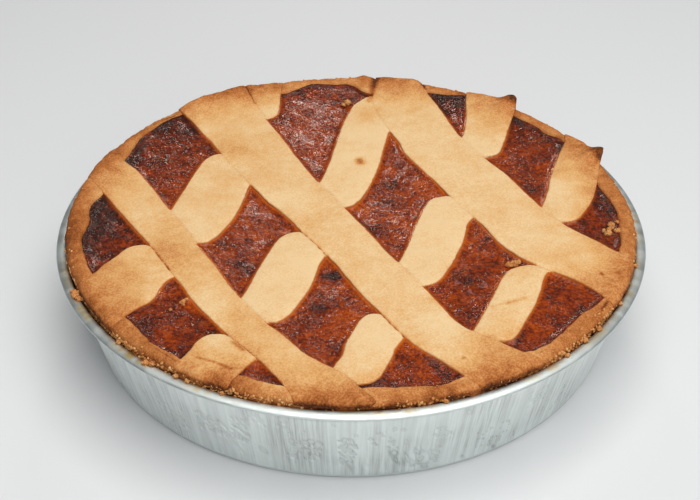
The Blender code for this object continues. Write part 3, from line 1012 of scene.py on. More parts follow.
class StripPath:
    """A strip's middle line and its two cut edges, seen from above."""

    left_cut = (7.6, 12.0)  # how far and over what length its sharp corners are rounded off
    right_cut = (8.0, 10.5)
    roundness = 1.7
    rounding_passes = 12
    smoothing = 9  # samples over which a trim is evened out
    batch = 8000  # points that are searched at a time

    def __init__(self, plan: StripPlan, over: list["StripPath"]) -> None:
        """Lay the strip.

        Args:
            plan: its stations.
            over: the strips that pass over it.
        """
        line = spline_samples(plan.stations, LINE_STEP)
        self.plan = plan
        self.middle = line[:, :2]
        ahead = np.gradient(self.middle, axis=0)
        self.ahead = ahead / np.linalg.norm(ahead, axis=1)[:, None]
        self.across = np.column_stack((self.ahead[:, 1], -self.ahead[:, 0]))
        self.left = line[:, 2] + self.wobble(1.0) - self.trim(plan.left_trim)
        self.right = line[:, 2] + self.wobble(-1.0) - self.trim(plan.right_trim)
        left_inset = self.corner_inset(1.0, over, *self.left_cut)
        self.right = self.right - self.corner_inset(-1.0, over, *self.right_cut)
        self.left = self.left - left_inset
        self.depths = PlanField(0.5, lambda points: self.covering(points)[0])

    def trim(self, table: tuple) -> Array:
        """Inset of an edge along the strip.

        Args:
            table: (distance along, inset) of one edge.

        Returns:
            The inset at each sample of the middle line.
        """
        places, insets = np.array(table, float).T
        exact = np.interp(np.arange(len(self.middle)) * LINE_STEP, places, insets)
        padded = np.pad(exact, self.smoothing // 2, mode="edge")
        return np.convolve(padded, np.ones(self.smoothing) / self.smoothing, mode="valid")

    def wobble(self, side: float) -> Array:
        """Unevenness of an edge cut by hand."""
        x, y = (self.middle + side * 12 * self.across).T
        return 0.16 * flat_relief(x, y, 9.0, side * 4.3) + 0.16 * flat_relief(x, y, 2.6, side * 9.1)

    def corner_inset(self, side: float, over: list["StripPath"], cut: float, length: float) -> Array:
        """How far an edge draws in at its sharp corners, next to the strips over it.

        Args:
            side: 1 for the left edge and -1 for the right one.
            over: the strips over this one.
            cut: the inset right at the seam.
            length: how far from the seam it starts.

        Returns:
            The inset along the edge.
        """
        half = self.left if side > 0 else self.right
        edge = self.middle + side * self.across * half[:, None]
        total = np.zeros(len(edge))
        for upper in over:
            covered, away = upper.covering(edge)
            facing = (away * -side * self.across).sum(axis=1)
            sharp = ease(-facing / 0.35)
            inset = np.zeros(len(edge))
            for _ in range(self.rounding_passes):
                reach = 1 - np.clip((facing * inset - covered) / length, 0, 1)
                rounded = (1 - reach ** self.roundness) ** (1 / self.roundness)
                inset = 0.5 * inset + 0.5 * cut * (1 - rounded)
            fade = 1 - ease((covered - 1.0) / 8.0)
            total = np.maximum(total, inset * sharp * fade)
        return total

    def nearest(self, points: Array) -> Array:
        """Find the middle line's sample nearest to each point.

        Args:
            points: x and y of each.

        Returns:
            The samples' numbers, of every second sample.
        """
        found = np.empty(len(points), int)
        sparse = self.middle[::2]
        for start in range(0, len(points), self.batch):
            part = points[start:start + self.batch]
            squares = ((part[:, None, :] - sparse[None, :, :]) ** 2).sum(axis=2)
            found[start:start + self.batch] = 2 * squares.argmin(axis=1)
        return found

    def covering(self, points: Array) -> tuple[Array, Array]:
        """How deep points lie inside the strip.

        Args:
            points: x and y of each.

        Returns:
            The depth in from the nearer edge, below 0 outside, and the direction out of the strip.
        """
        index = self.nearest(points)
        offset = points - self.middle[index]
        side = (offset * self.across[index]).sum(axis=1)
        along = np.abs((offset * self.ahead[index]).sum(axis=1))
        width = self.half_width(index, side)
        depth = width - np.abs(side) - np.maximum(along - 2.0, 0.0)
        return depth, self.across[index] * np.sign(side)[:, None]

    def half_width(self, index: Array, side: Array) -> Array:
        """Half width at some samples, on the left where side is above 0."""
        return np.where(side > 0, self.left[index], self.right[index])

    def inside(self, points: Array) -> Array:
        """Depth in from the nearer edge, below 0 outside."""
        return self.depths.at(points)


class Lattice:
    """The seven strips and the rim as one lid with windows. A crack is (start, end, strength)."""

    cracks = (
        ((-20, -17.5), (-10.8, -32.5), 0.9), ((10, -70.4), (17.5, -83), 1.3),
        ((67.9, -40), (74.2, -43.8), 0.9), ((-79.2, -22.5), (-70, -41.7), 0.7),
        ((-45, -82), (-34, -94), 0.4), ((-42, 22), (-34, 7), 0.4), ((20, 88), (27, 66), 0.4),
        ((46, 10), (53, -3), 0.4), ((-52, 112), (-47, 92), 0.9), ((33.2, 113), (35.4, 105), 1.1))
    uncovered = -50.0  # depth far outside every strip

    def __init__(self) -> None:
        """Lay the upper strips, then the lower ones."""
        self.lid = Lid()
        self.upper = [StripPath(plan, []) for plan in STRIP_PLANS if plan.layer is Layer.UPPER]
        self.lower = [StripPath(plan, self.upper) for plan in STRIP_PLANS if plan.layer is Layer.LOWER]
        self.strips = self.upper + self.lower

    def strip_cover(self, points: Array, strips: list[StripPath]) -> Array:
        """Depth inside the deepest of some strips, below 0 outside all of them."""
        depths = [strip.inside(points) for strip in strips]
        return np.max([np.full(len(points), self.uncovered), *depths], axis=0)

    def rim_cover(self, points: Array) -> Array:
        """Depth inside the rim, below 0 inside the windows' circle."""
        x, y = points.T
        return np.hypot(x, y) - self.lid.window_radius(azimuth_of(x, y))

    def cover(self, points: Array, strips: list[StripPath]) -> Array:
        """Depth inside some strips or the rim, below 0 outside both."""
        return np.maximum(self.strip_cover(points, strips), self.rim_cover(points))

    def crack(self, points: Array) -> Array:
        """How far a seam has cracked open.

        Args:
            points: x and y of each.

        Returns:
            0 where it is shut, up to about 1.4.
        """
        total = np.zeros(len(points))
        for start, end, strength in self.cracks:
            total = np.maximum(total, strength * hill(segment_distance(points, start, end), 2.2))
        jagged = 0.75 + 0.9 * flat_relief(points[:, 0], points[:, 1], 2.4, 5.5)
        return total * np.clip(jagged, 0.2, 1.4)

    def seam(self, points: Array, distance: Array) -> Array:
        """Depth of the groove beside a seam.

        Args:
            points: x and y of each point.
            distance: how far it is from the seam.

        Returns:
            How far the surface sinks.
        """
        return (0.16 + 0.5 * self.crack(points)) * hill(distance, 0.55) + 0.10 * hill(distance, 1.6)

    def crack_stain(self, points: Array, distance: Array) -> Array:
        """Browning of a cracked seam, from the distance to the seam."""
        return np.clip(self.crack(points), 0, 1) * hill(distance, 0.5)

    def dive(self, points: Array, covered: Array) -> Array:
        """How far a piece sinks where another lies over it, from its depth under that one."""
        start = 0.05 + 0.30 * self.crack(points)
        return 1.7 * ease((covered + start) / 0.8) + 2.7 * ease((covered - 0.4) / 3.0)


def grit(points: Array) -> Array:
    """The finest unevenness of broken and crumbly pastry."""
    return relief(points, 1.5, 2.0)


def lumps(points: Array) -> Array:
    """The coarser unevenness of broken and crumbly pastry."""
    return relief(points, 3.6, 7.0)


def surface_relief(x: Array, y: Array) -> Array:
    """Gentle unevenness of rolled and baked pastry."""
    return (0.20 * flat_relief(x, y, 12.0, 2.2) + 0.11 * flat_relief(x, y, 4.0, 8.4)
            + 0.05 * flat_relief(x, y, 1.6, 6.1))


@dataclass(frozen=True)
class Browning:
    """How far the pastry has browned at a point.

    Its patches are (x, y, spread, strength), its lines (start, end, spread, strength) and its
    places round the pie (azimuth, size, spread). A few patches and lines are painted shade, as noted beside
    them.
    """

    strips: dict = field(default_factory=lambda: {
        "strip_upper_a": 0.25, "strip_upper_b": 0.17, "strip_upper_c": 0.11, "strip_lower_1": 0.13,
        "strip_lower_2": 0.05, "strip_lower_3": 0.04, "strip_lower_4": 0.07})
    base: float = 0.04
    rim: float = 0.48
    rim_start: float = 82.0
    rim_end: float = 118.0
    later: tuple = ((140, 12, 35), (45, 4, 30), (220, 6, 22))  # the middle stays pale further out
    rim_tone: tuple = ((190, 0.20, 20), (5, 0.12, 20), (265, -0.04, 25), (60, 0.04, 20), (128, -0.04, 12))
    patches: tuple = (
        (-85, 6.7, 1.8, 0.14), (-13.3, 14.2, 2.0, 0.12), (3.6, 39.0, 2.0, 0.56), (4.2, 36.4, 2.0, 0.56),
        (95.8, -45, 0.9, 0.35), (39.2, -94.2, 0.9, 0.35), (36, -93, 9, -0.30), (-15, -105, 9, -0.20),
        (-24, -98, 9, -0.16), (9, -50, 9, -0.12), (34, -78, 11, -0.12), (97, -33, 12, -0.12),
        (-95, 3, 12, -0.19), (-80, -14, 8, -0.08), (-72, -30, 12, 0.15), (-55, -64, 12, -0.15),
        (-102, -42, 8, -0.10), (-80, -60, 10, 0.12), (67, -43, 6, 0.10), (66, -57, 5, 0.08),
        (-41, -70, 5, 0.08), (-52, 98, 11, 0.20), (-58, 78, 12, 0.07), (7, 83, 9, 0.20), (64, 72, 16, 0.17),
        (-49, 48, 12, 0.15), (-30, 8, 11, -0.09), (98, 20, 11, -0.07), (35, 102, 7, 0.10),
        (82, -2, 9, 0.09), (82, -14, 5, 0.12), (80, -34, 9, 0.09), (-40, -76, 8, 0.07), (28, 84, 5, 0.08),
        (8, -28, 8, -0.06), (-2, 3, 7, -0.08), (12, 114, 7, 0.22), (-97, 26, 11, -0.12),
        (-48, -88, 9, -0.10), (74, 92, 6, 0.14), (108, 46, 5, 0.08), (60, 101, 6, 0.10), (30, -62, 6, 0.07),
        (62, 18, 7, 0.05), (-20, 60, 8, 0.05), (88, 26, 7, 0.07), (-46, -107, 5, 0.40),
        # The patches near y -117 darken the lower face of the front lip: painted shade under it.
        (-11, -117, 4.5, 0.19), (3, -118, 6, 0.11), (16, -117.5, 5, 0.38), (30, -112, 7, 0.22),
        (-24, -115, 5, 0.14), (-3, -102, 8, -0.12), (22, -43, 6, 0.08), (55, -71, 5, 0.10),
        (74, -28, 7, 0.06), (-52, 21, 7, 0.09), (-1, 30, 9, 0.05), (51, -108, 5, 0.34), (54, -93, 7, -0.08),
        (-97, 60, 6, 0.13), (-40, 102, 7, 0.09), (109, 21, 5, 0.07), (106, -44, 6, 0.08),
        (-107, -12, 6, 0.06), (-94, -62, 10, 0.11), (-65, -95, 7, 0.10), (37, -42, 5, 0.12),
        (59, -28, 6, -0.08), (25, -56, 7, -0.08))
    lines: tuple = (
        ((51.5, -65.4), (58, -63.3), 0.6, 0.16), ((58, -63.3), (64.3, -60.5), 1.1, 0.28),
        ((-42, -85.5), (-38, -90), 0.9, 0.45), ((-74, -50), (-60, -62), 4.0, 0.08),
        ((84, 92), (92, 84), 1.5, 0.3), ((-53.7, -94.2), (-47.2, -96.8), 0.6, 0.3),
        ((-46, -97.5), (-41.4, -100), 0.7, 0.35), ((8.6, 93), (12.6, 115), 1.5, 0.40),
        # The line from (33.2, 113) to (35.2, 106) is painted shade in the crevice between strip upper_c's
        # end and the rim.
        ((92.1, -66.3), (95.1, -61.5), 0.6, 0.4), ((33.2, 113), (35.2, 106), 0.9, 0.45),
        ((111, 42), (109, 36.5), 2.2, 0.25), ((77, 90), (78.4, 85.5), 1.6, 0.30),
        ((64, 99), (71, 95), 1.6, 0.16))

    def level(self, x: Array, y: Array) -> Array:
        """Browning of the pastry.

        Args:
            x: places over the plan.
            y: the same.

        Returns:
            The browning of each place, from 0, pale, to 1, dark brown.
        """
        points = np.column_stack((x, y))
        azimuth = azimuth_of(x, y)
        uneven = 7 * flat_relief(x, y, 22.0, 4.9) + 3 * flat_relief(x, y, 7.0, 1.1)
        rim = self.rim + around(azimuth, self.rim_tone)
        start = self.rim_start + around(azimuth, self.later)
        level = self.base + rim * ease((np.hypot(x, y) + uneven - start) / (self.rim_end - start))
        level = level + 0.07 * flat_relief(x, y, 14.0, 9.9) + 0.03 * flat_relief(x, y, 5.0, 3.9)
        level = level + spots(points, self.patches)
        for start, end, width, strength in self.lines:
            level = level + strength * hill(segment_distance(points, start, end), width)
        return level


# ---- the tin


@dataclass
class Tin:
    """The flared tin: drawn wall, rolled bead, pitted patches and a few dents.

    Its patches and folds are (azimuth, height, reach round, reach up, number of marks), its dents
    (azimuth, height, spread, depth) and its stains (azimuth, strength, spread).
    """

    fine_steps: int = 560
    coarse_steps: int = 430
    fine_start: float = 225.0
    fine_end: float = 322.0
    wall_rows: int = 62
    streak: float = 0.10
    crest_shift: float = 0.5  # the bead's crest lies this much further in, for each mm of rise
    pit_depth: float = 0.60
    pit_patches: tuple = (
        (243.5, 20, 3.2, 5, 60), (249.5, 22, 1.8, 7, 40), (253, 30, 6, 4, 14), (261.5, 17, 3.0, 5.5, 70),
        (269.5, 17, 1.8, 7.5, 50), (275, 24, 5, 6, 20), (287, 24, 1.8, 3, 18), (284, 10, 3.0, 5, 30),
        (306.5, 25, 2.6, 5, 30), (298, 12, 4, 6, 24), (233, 14, 4, 8, 24), (314, 14, 4, 7, 20),
        (40, 20, 30, 10, 60), (110, 18, 30, 10, 60), (175, 20, 25, 10, 60), (350, 20, 14, 9, 40))
    dents: tuple = (
        (258, 33, 1.5, 0.40), (253.4, 12.4, 2.3, 0.60), (266.9, 32.9, 1.1, 0.35), (278, 15.1, 2.1, 0.60),
        (276.5, 13.4, 1.2, -0.25), (291, 32, 1.8, 0.40), (284.2, 3.7, 2.2, 0.65), (292, 4.4, 1.6, 0.35),
        (299, 3.4, 1.8, 0.45), (261.8, 28.1, 0.9, 0.25), (120, 8, 3.0, 0.5), (60, 15, 2.5, 0.4),
        (190, 10, 2.4, 0.4))
    folds: tuple = (
        (280, 12, 3.0, 4.5, 26), (271, 9, 2.0, 3.5, 8), (303, 9, 3.0, 4, 8), (246, 9, 3.0, 4, 8))
    stains: tuple = (
        (200, 0.7, 9), (212, 1.0, 4), (228, 0.9, 5), (244, 0.5, 4), (278, 0.7, 5), (306, 0.5, 5),
        (320, 0.7, 4), (333, 0.6, 5), (344, 0.8, 4), (358, 0.6, 8), (20, 0.5, 10))
    hub: float = 60.0  # radius inside which the floor is one face
    bead_steps: int = 21
    seed: int = 11

    def profile(self) -> list[tuple[float, float, float]]:
        """Section of the tin, from the middle of its floor round to its underside.

        Returns:
            (radius, height, share of the wall's finish) of each point.
        """
        sizes = TinSizes
        inner = sizes.corner - sizes.wall
        middle = (sizes.base_radius - sizes.corner, sizes.corner)
        centre = (TIN_RADIUS - sizes.bead_width / 2, TIN_HEIGHT - sizes.bead_height / 2)
        foot = self.arc(middle, inner, inner, -90, -15, 3)
        bead = self.arc(centre, sizes.bead_width / 2, sizes.bead_height / 2, 190, -150, self.bead_steps)
        bead = [(x - self.crest_shift * max(z - centre[1], 0), z, share) for x, z, share in bead]
        outer = self.arc(middle, sizes.corner, sizes.corner, -15, -90, 5)
        return [(self.hub, sizes.wall, 0.0), *foot, *self.line(foot[-1], bead[0], 4, 0.3), *bead,
                *self.line(bead[-1], outer[0], self.wall_rows, 1.0), *outer, (self.hub, 0.0, 0.0)]

    @staticmethod
    def arc(centre: tuple, wide: float, high: float, start: float, end: float, steps: int) -> list:
        """Points of an elliptic arc."""
        return [(centre[0] + wide * math.cos(turn), centre[1] + high * math.sin(turn), 0.0)
                for turn in np.radians(np.linspace(start, end, steps + 1))]

    @staticmethod
    def line(start: tuple, end: tuple, steps: int, share: float) -> list:
        """Points between two ends of a straight wall, both ends left out."""
        across, up = end[0] - start[0], end[1] - start[1]
        return [(start[0] + across * i / steps, start[1] + up * i / steps, share) for i in range(1, steps)]

    def butter(self, azimuth: Array, radius: Array, height: Array) -> Array:
        """Buttery stain on the inner half of the bead.

        Args:
            azimuth: where each point lies.
            radius: how far out it is.
            height: how high it is.

        Returns:
            The stain from 0 to 1.
        """
        x, y = polar(np.full_like(azimuth, 118.0), azimuth)
        uneven = np.clip(0.5 + 1.3 * relief(np.column_stack((x, y, height)), 3.0, 4.0), 0, 1)
        inner = ease(TIN_RADIUS - 0.5 - radius) * ease((height - TIN_HEIGHT + 2) / 0.6)
        return np.clip(around(azimuth, self.stains), 0, 1) * uneven * inner

    def places(self) -> list[tuple]:
        """Every dent, pit and fold of the wall.

        Returns:
            (azimuth, height, spread round, spread up, depth) of each.
        """
        draw = np.random.default_rng(self.seed)
        places = [(a, z, 0.6 * spread, 0.9 * spread, size) for a, z, spread, size in self.dents]
        for patches, is_pit in ((self.pit_patches, True), (self.folds, False)):
            for centre, middle, wide, high, count in patches:
                for _ in range(count):
                    turn = centre + draw.uniform(-1, 1) * wide
                    level = middle + draw.uniform(-1, 1) * high
                    if is_pit:
                        spread = draw.uniform(0.38, 0.75)
                        depth = self.pit_depth * draw.uniform(0.4, 1.1)
                        places.append((turn % 360, level, spread, 1.3 * spread, depth))
                    else:
                        places.append((turn, level, draw.uniform(0.5, 0.9), draw.uniform(1.5, 4.0),
                                       draw.choice((-1, 1)) * draw.uniform(0.12, 0.34)))
        return places

    def hollows(self, azimuth: Array, height: Array) -> Array:
        """Pits, dents and folds in the outer wall.

        Args:
            azimuth: where each point lies.
            height: how high it is.

        Returns:
            How deep each point is sunk.
        """
        depth = np.zeros_like(azimuth)
        degree = 114 * math.pi / 180
        for turn, level, spread, tall, size in self.places():
            across = ((azimuth - turn + 180) % 360 - 180) * degree + 0.35 * (height - level)
            near = np.flatnonzero((np.abs(across) < 4 * spread) & (np.abs(height - level) < 4 * tall))
            depth[near] += size * hill(across[near], spread) * hill(height[near] - level, tall)
        return depth

    def waviness(self, azimuth: Array, height: Array) -> Array:
        """How far the wall stands out, as upright streaks and broad swells.

        Args:
            azimuth: where each point lies.
            height: how high it is.

        Returns:
            The shift of each point, which fades at the foot and at the bead.
        """
        x, y = polar(np.full_like(azimuth, 115.0), azimuth)
        total = -0.18 * 0.8
        for size, upright, length, shift in ((self.streak, 0.05, 2.4, 3.3), (0.10, 0.09, 7.0, 8.3),
                                             (0.18, 0.5, 24.0, 1.3)):
            total = total + size * relief(np.column_stack((x, y, upright * height)), length, shift)
        return total * ease((height - 2) / 3) * ease((TIN_HEIGHT - 3 - height) / 2)

    def build(self, material: Material) -> Item:
        """Build and dress the tin.

        Args:
            material: its finish.

        Returns:
            The finished piece.
        """
        section = self.profile()
        fine = np.linspace(self.fine_start, self.fine_end, self.fine_steps, endpoint=False)
        coarse = np.linspace(self.fine_end, self.fine_start + 360, self.coarse_steps, endpoint=False)
        turns = np.concatenate((fine, coarse)) % 360
        steps = len(turns)
        azimuth = np.tile(turns, len(section))
        radius, height, share = np.repeat(section, steps, axis=0).T
        outer = share > 0.9
        hollows = self.hollows(azimuth, height)
        shift = self.waviness(azimuth, height) - hollows * ease((height - 1) / 2)
        radius = radius + np.where(outer, shift, 0.0)
        points = np.column_stack((*polar(radius, azimuth), height))
        row = np.repeat(np.arange(len(section)), steps)
        outside = row > len(section) - self.wall_rows - 14
        # Painted shade: a dark line where the bead meets the wall, the bead's lower side, the dents and
        # pits, and a band below the bead where its shadow falls.
        under_bead = TIN_HEIGHT - TinSizes.bead_height + 0.1
        painted_shade = hill(height - under_bead, 0.6) * ease(TIN_RADIUS - 0.8 - radius)
        lower_side = ease((TIN_HEIGHT - 1.5 - height) / 0.4) * (share < 0.9)
        painted_shade = np.maximum(painted_shade, lower_side) * outside * (height > TIN_HEIGHT - 5)
        painted_shade = painted_shade + 0.42 * ease(hollows / 0.45) * outer
        painted_shade = painted_shade + 0.60 * hill(height - (TIN_HEIGHT - 5.1), 0.9) * outer
        marks = {"wall": share, "painted_shade": painted_shade, "butter": self.butter(azimuth, radius, height)}
        item = new_piece("baking_tin", points, turned_faces(len(section), steps), marks)
        return hand_over(item, material, "tin", "tin")


# ---- the pie


@dataclass
class Crust:
    """The pastry shell: floor, wall and the rim with its rounded, crumbly lip.

    Its tables hold (azimuth, size, spread).
    """

    lattice: Lattice
    browning: Browning
    steps: int = 1180
    lip_wide: float = 3.8
    lip_high: float = 3.4
    tone: tuple = (  # where it is browner
        (150, 0.26, 20), (194, 0.09, 10), (110, 0.10, 15), (30, 0.08, 25), (75, 0.06, 15), (222, 0.12, 16),
        (249, 0.22, 6), (315, 0.12, 8), (344, 0.14, 7), (297, 0.12, 6))
    inner_round: float = 1.3
    side_end: float = 41.3
    crevice: tuple = (
        (215, 0.15, 14), (250, 0.2, 20), (285, 0.25, 12), (312, 0.6, 9), (327, 1.0, 10), (343, 0.6, 9),
        (2, 0.4, 15), (60, 0.3, 30), (120, 0.4, 30), (175, 0.4, 20))
    tin_gap: float = 0.45
    foot_gap: float = 0.4
    foot_bevel: float = 1.5
    base_reach: float = 50.0  # how far in its underside is more than one face
    wall_gap: tuple = ((205, 0.9, 16), (324, 0.5, 14), (345, 0.4, 10))  # where it is wider
    crumbly: tuple = (
        (205, 0.7, 10), (228, 0.8, 12), (250, 0.7, 8), (283, 0.3, 6), (310, 0.6, 10), (328, 0.9, 9),
        (347, 0.6, 9), (10, 0.4, 14))
    hub: float = 50.0  # radius inside which the floor is one face
    floor_edge: float = 94.0
    floor: float = TinSizes.wall + AIR + BASE_CRUST

    def crevice_depth(self, azimuth: Array, x: Array, y: Array) -> Array:
        """How deep the groove under the lip is."""
        uneven = np.clip(0.4 + 1.5 * flat_relief(x, y, 3.4, 2.9), 0.0, 1.6)
        return (0.05 + around(azimuth, self.crevice)) * uneven

    def crevice_level(self, x: Array, y: Array) -> Array:
        """Height of the groove under the lip."""
        return TIN_HEIGHT + 1.3 + 0.9 * flat_relief(x, y, 5.0, 6.6) + 0.4 * flat_relief(x, y, 1.9, 4.6)

    def roughness(self, points: Array) -> Array:
        """How far the outer side stands out or in, as lumps and grit."""
        return 0.20 * grit(points) + 0.36 * lumps(points) - 0.1

    def side_radius(self, azimuth: Array, x: Array, y: Array, height: Array) -> Array:
        """Radius of the crust's outer side below the lip.

        Args:
            azimuth: where to read it.
            x: the same place in plan, for its noise.
            y: likewise.
            height: the point's height.

        Returns:
            The radius at each point.
        """
        lip = self.lattice.lid.outer_radius(azimuth, False)
        foot = tin_inner_radius(self.side_end) - self.tin_gap - around(azimuth, self.wall_gap)
        fall = ease((TIN_HEIGHT + 2.6 - height) / 2.8)
        radius = lip + (np.minimum(foot, lip) - lip) * fall
        groove = hill(height - self.crevice_level(x, y), 0.6)
        return radius - self.crevice_depth(azimuth, x, y) * groove

    def section(self) -> list[tuple[str, float]]:
        """List the stations of the section.

        Returns:
            The stretch that each lies on, and how far along it from 0 to 1.
        """
        stretches = {"floor": 2, "wall": 5, "inner": 6, "top": 13, "lip": 9, "side": 14, "outer": 4,
                     "base": 2}
        return [(name, i / count) for name, count in stretches.items() for i in range(count)]

    def row(self, name: str, t: float, turns: Array, inner: Array, outer: Array) -> tuple:
        """One row of the section, turned round.

        Args:
            name: the stretch that it lies on.
            t: how far along it.
            turns: the azimuths.
            inner: radius of the windows' edge at each.
            outer: radius of the lip at each.

        Returns:
            Its radius and its height, each a number or a value for each azimuth.
        """
        lid = self.lattice.lid
        rim = TIN_HEIGHT - 1
        quarter = math.pi / 2 * t
        if name == "floor":
            return self.hub + (self.floor_edge - self.hub) * t, self.floor
        if name == "wall":
            return self.floor_edge + (inner + 0.6 - self.floor_edge) * t, self.floor + (rim - self.floor) * t
        if name == "inner":
            climb = lid.height(*polar(inner, turns)) - self.inner_round - rim
            height = rim + climb * min(2 * t, 1)
            height = height + self.inner_round * math.sin(quarter) * max(2 * t - 1, 0) ** 0.5
            return inner + self.inner_round * (1 - math.cos(quarter)), height
        if name == "top":
            start = inner + self.inner_round
            radius = start + (outer - self.lip_wide - start) * t
            return radius, lid.height(*polar(radius, turns))
        if name == "lip":
            radius = outer - self.lip_wide * (1 - math.sin(quarter))
            return radius, lid.height(*polar(radius, turns)) - self.lip_high * (1 - math.cos(quarter))
        if name == "side":
            x, y = polar(outer, turns)
            start = lid.height(x, y) - self.lip_high
            height = start + (self.side_end - start) * t
            return self.side_radius(turns, x, y, height), height
        if name == "outer":
            height = self.side_end + (TinSizes.corner - self.side_end) * t
            gap = around(turns, self.wall_gap) * ease((height - 20) / 20)
            return tin_inner_radius(height) - self.tin_gap - gap, height
        foot = tin_inner_radius(TinSizes.corner) - self.foot_gap - self.foot_bevel
        return foot - self.base_reach * t, TinSizes.wall + AIR

    def build(self, material: Material) -> Item:
        """Build and dress the shell.

        Args:
            material: its finish.

        Returns:
            The finished piece.
        """
        lid = self.lattice.lid
        turns = np.arange(self.steps) * 360 / self.steps
        outer = lid.outer_radius(turns, False)
        inner = np.minimum(lid.window_radius(turns), outer - 2.5)
        rows = []
        for name, t in self.section():
            radius, height = self.row(name, t, turns, inner, outer)
            rows.append(np.column_stack((*polar(radius, turns), np.full(self.steps, height))))
        points, marks = self.finish(np.concatenate(rows))
        item = new_piece("crust", points, turned_faces(len(rows), self.steps), marks)
        return hand_over(item, material, PastryKind.RIM.value, "pastry_shell")

    def finish(self, points: Array) -> tuple[Array, dict]:
        """Roughen the rim, sink it under the strips and mark its browning, with painted shade in the groove
        under the lip and at its foot by the tin.

        Args:
            points: the section's points, turned round.

        Returns:
            The shaped points and their marks.
        """
        x, y, z = points.T
        plan = points[:, :2]
        radius = np.hypot(x, y)
        azimuth = azimuth_of(x, y)
        drop = self.lattice.lid.height(x, y) - z
        upper_side = ease((z - TIN_HEIGHT + 1) / 1.5)
        on_top = ease(1 - drop / 2.5) * upper_side
        beside = ease((radius - 112.5) / 2.5)
        covered = self.lattice.strip_cover(plan, self.lattice.strips)
        fine, coarse = grit(points), lumps(points)
        scale = 1 + upper_side * beside * self.roughness(points) / np.maximum(radius, 1)
        sunk = (self.lattice.dive(plan, covered) + self.lattice.seam(plan, covered)) * on_top
        rough = surface_relief(x, y) * 1.2 + 0.16 * fine + 0.22 * coarse
        shaped = np.column_stack((x * scale, y * scale, z - sunk + on_top * rough))
        side = ease((drop - 1.0) / 2.5) * beside
        deep = np.clip(self.crevice_depth(azimuth, x, y), 0, 1.2)
        groove = deep * hill(z - self.crevice_level(x, y), 0.6) * beside * upper_side
        crumbly = np.clip(around(azimuth, self.crumbly), 0, 1)
        foot = ease((TIN_HEIGHT + 0.9 - z) / 0.9) * beside
        # painted shade: darker in the groove under the lip and at the foot down by the tin; the side also
        # darkens down its outer face
        level = self.browning.level(x, y) + around(azimuth, self.tone) + 0.12 * side + 0.30 * groove
        level = level + foot * (0.22 + 0.30 * coarse - 0.3 * crumbly) + 0.12 * (coarse + fine) * side
        level = level + 0.10 * on_top * (0.5 * coarse + 0.7 * fine) * ease((radius - 108) / 4)
        level = level + 0.35 * self.lattice.crack_stain(plan, covered)
        behind = ease((y / radius - 0.2) / 0.5)
        inner_side = ease((112 - radius) / 2) * ease((drop - 0.6 - behind) / 0.8)
        loose = (0.08 + crumbly) * ease((TIN_HEIGHT + 2.6 - z) / 0.8) * beside
        loose = loose * ease((z - TIN_HEIGHT + 0.8) / 0.5) + 0.04 * on_top * beside
        return shaped, {"browning_and_shade": level, "stain": 0.75 * inner_side, "crumbly": loose}


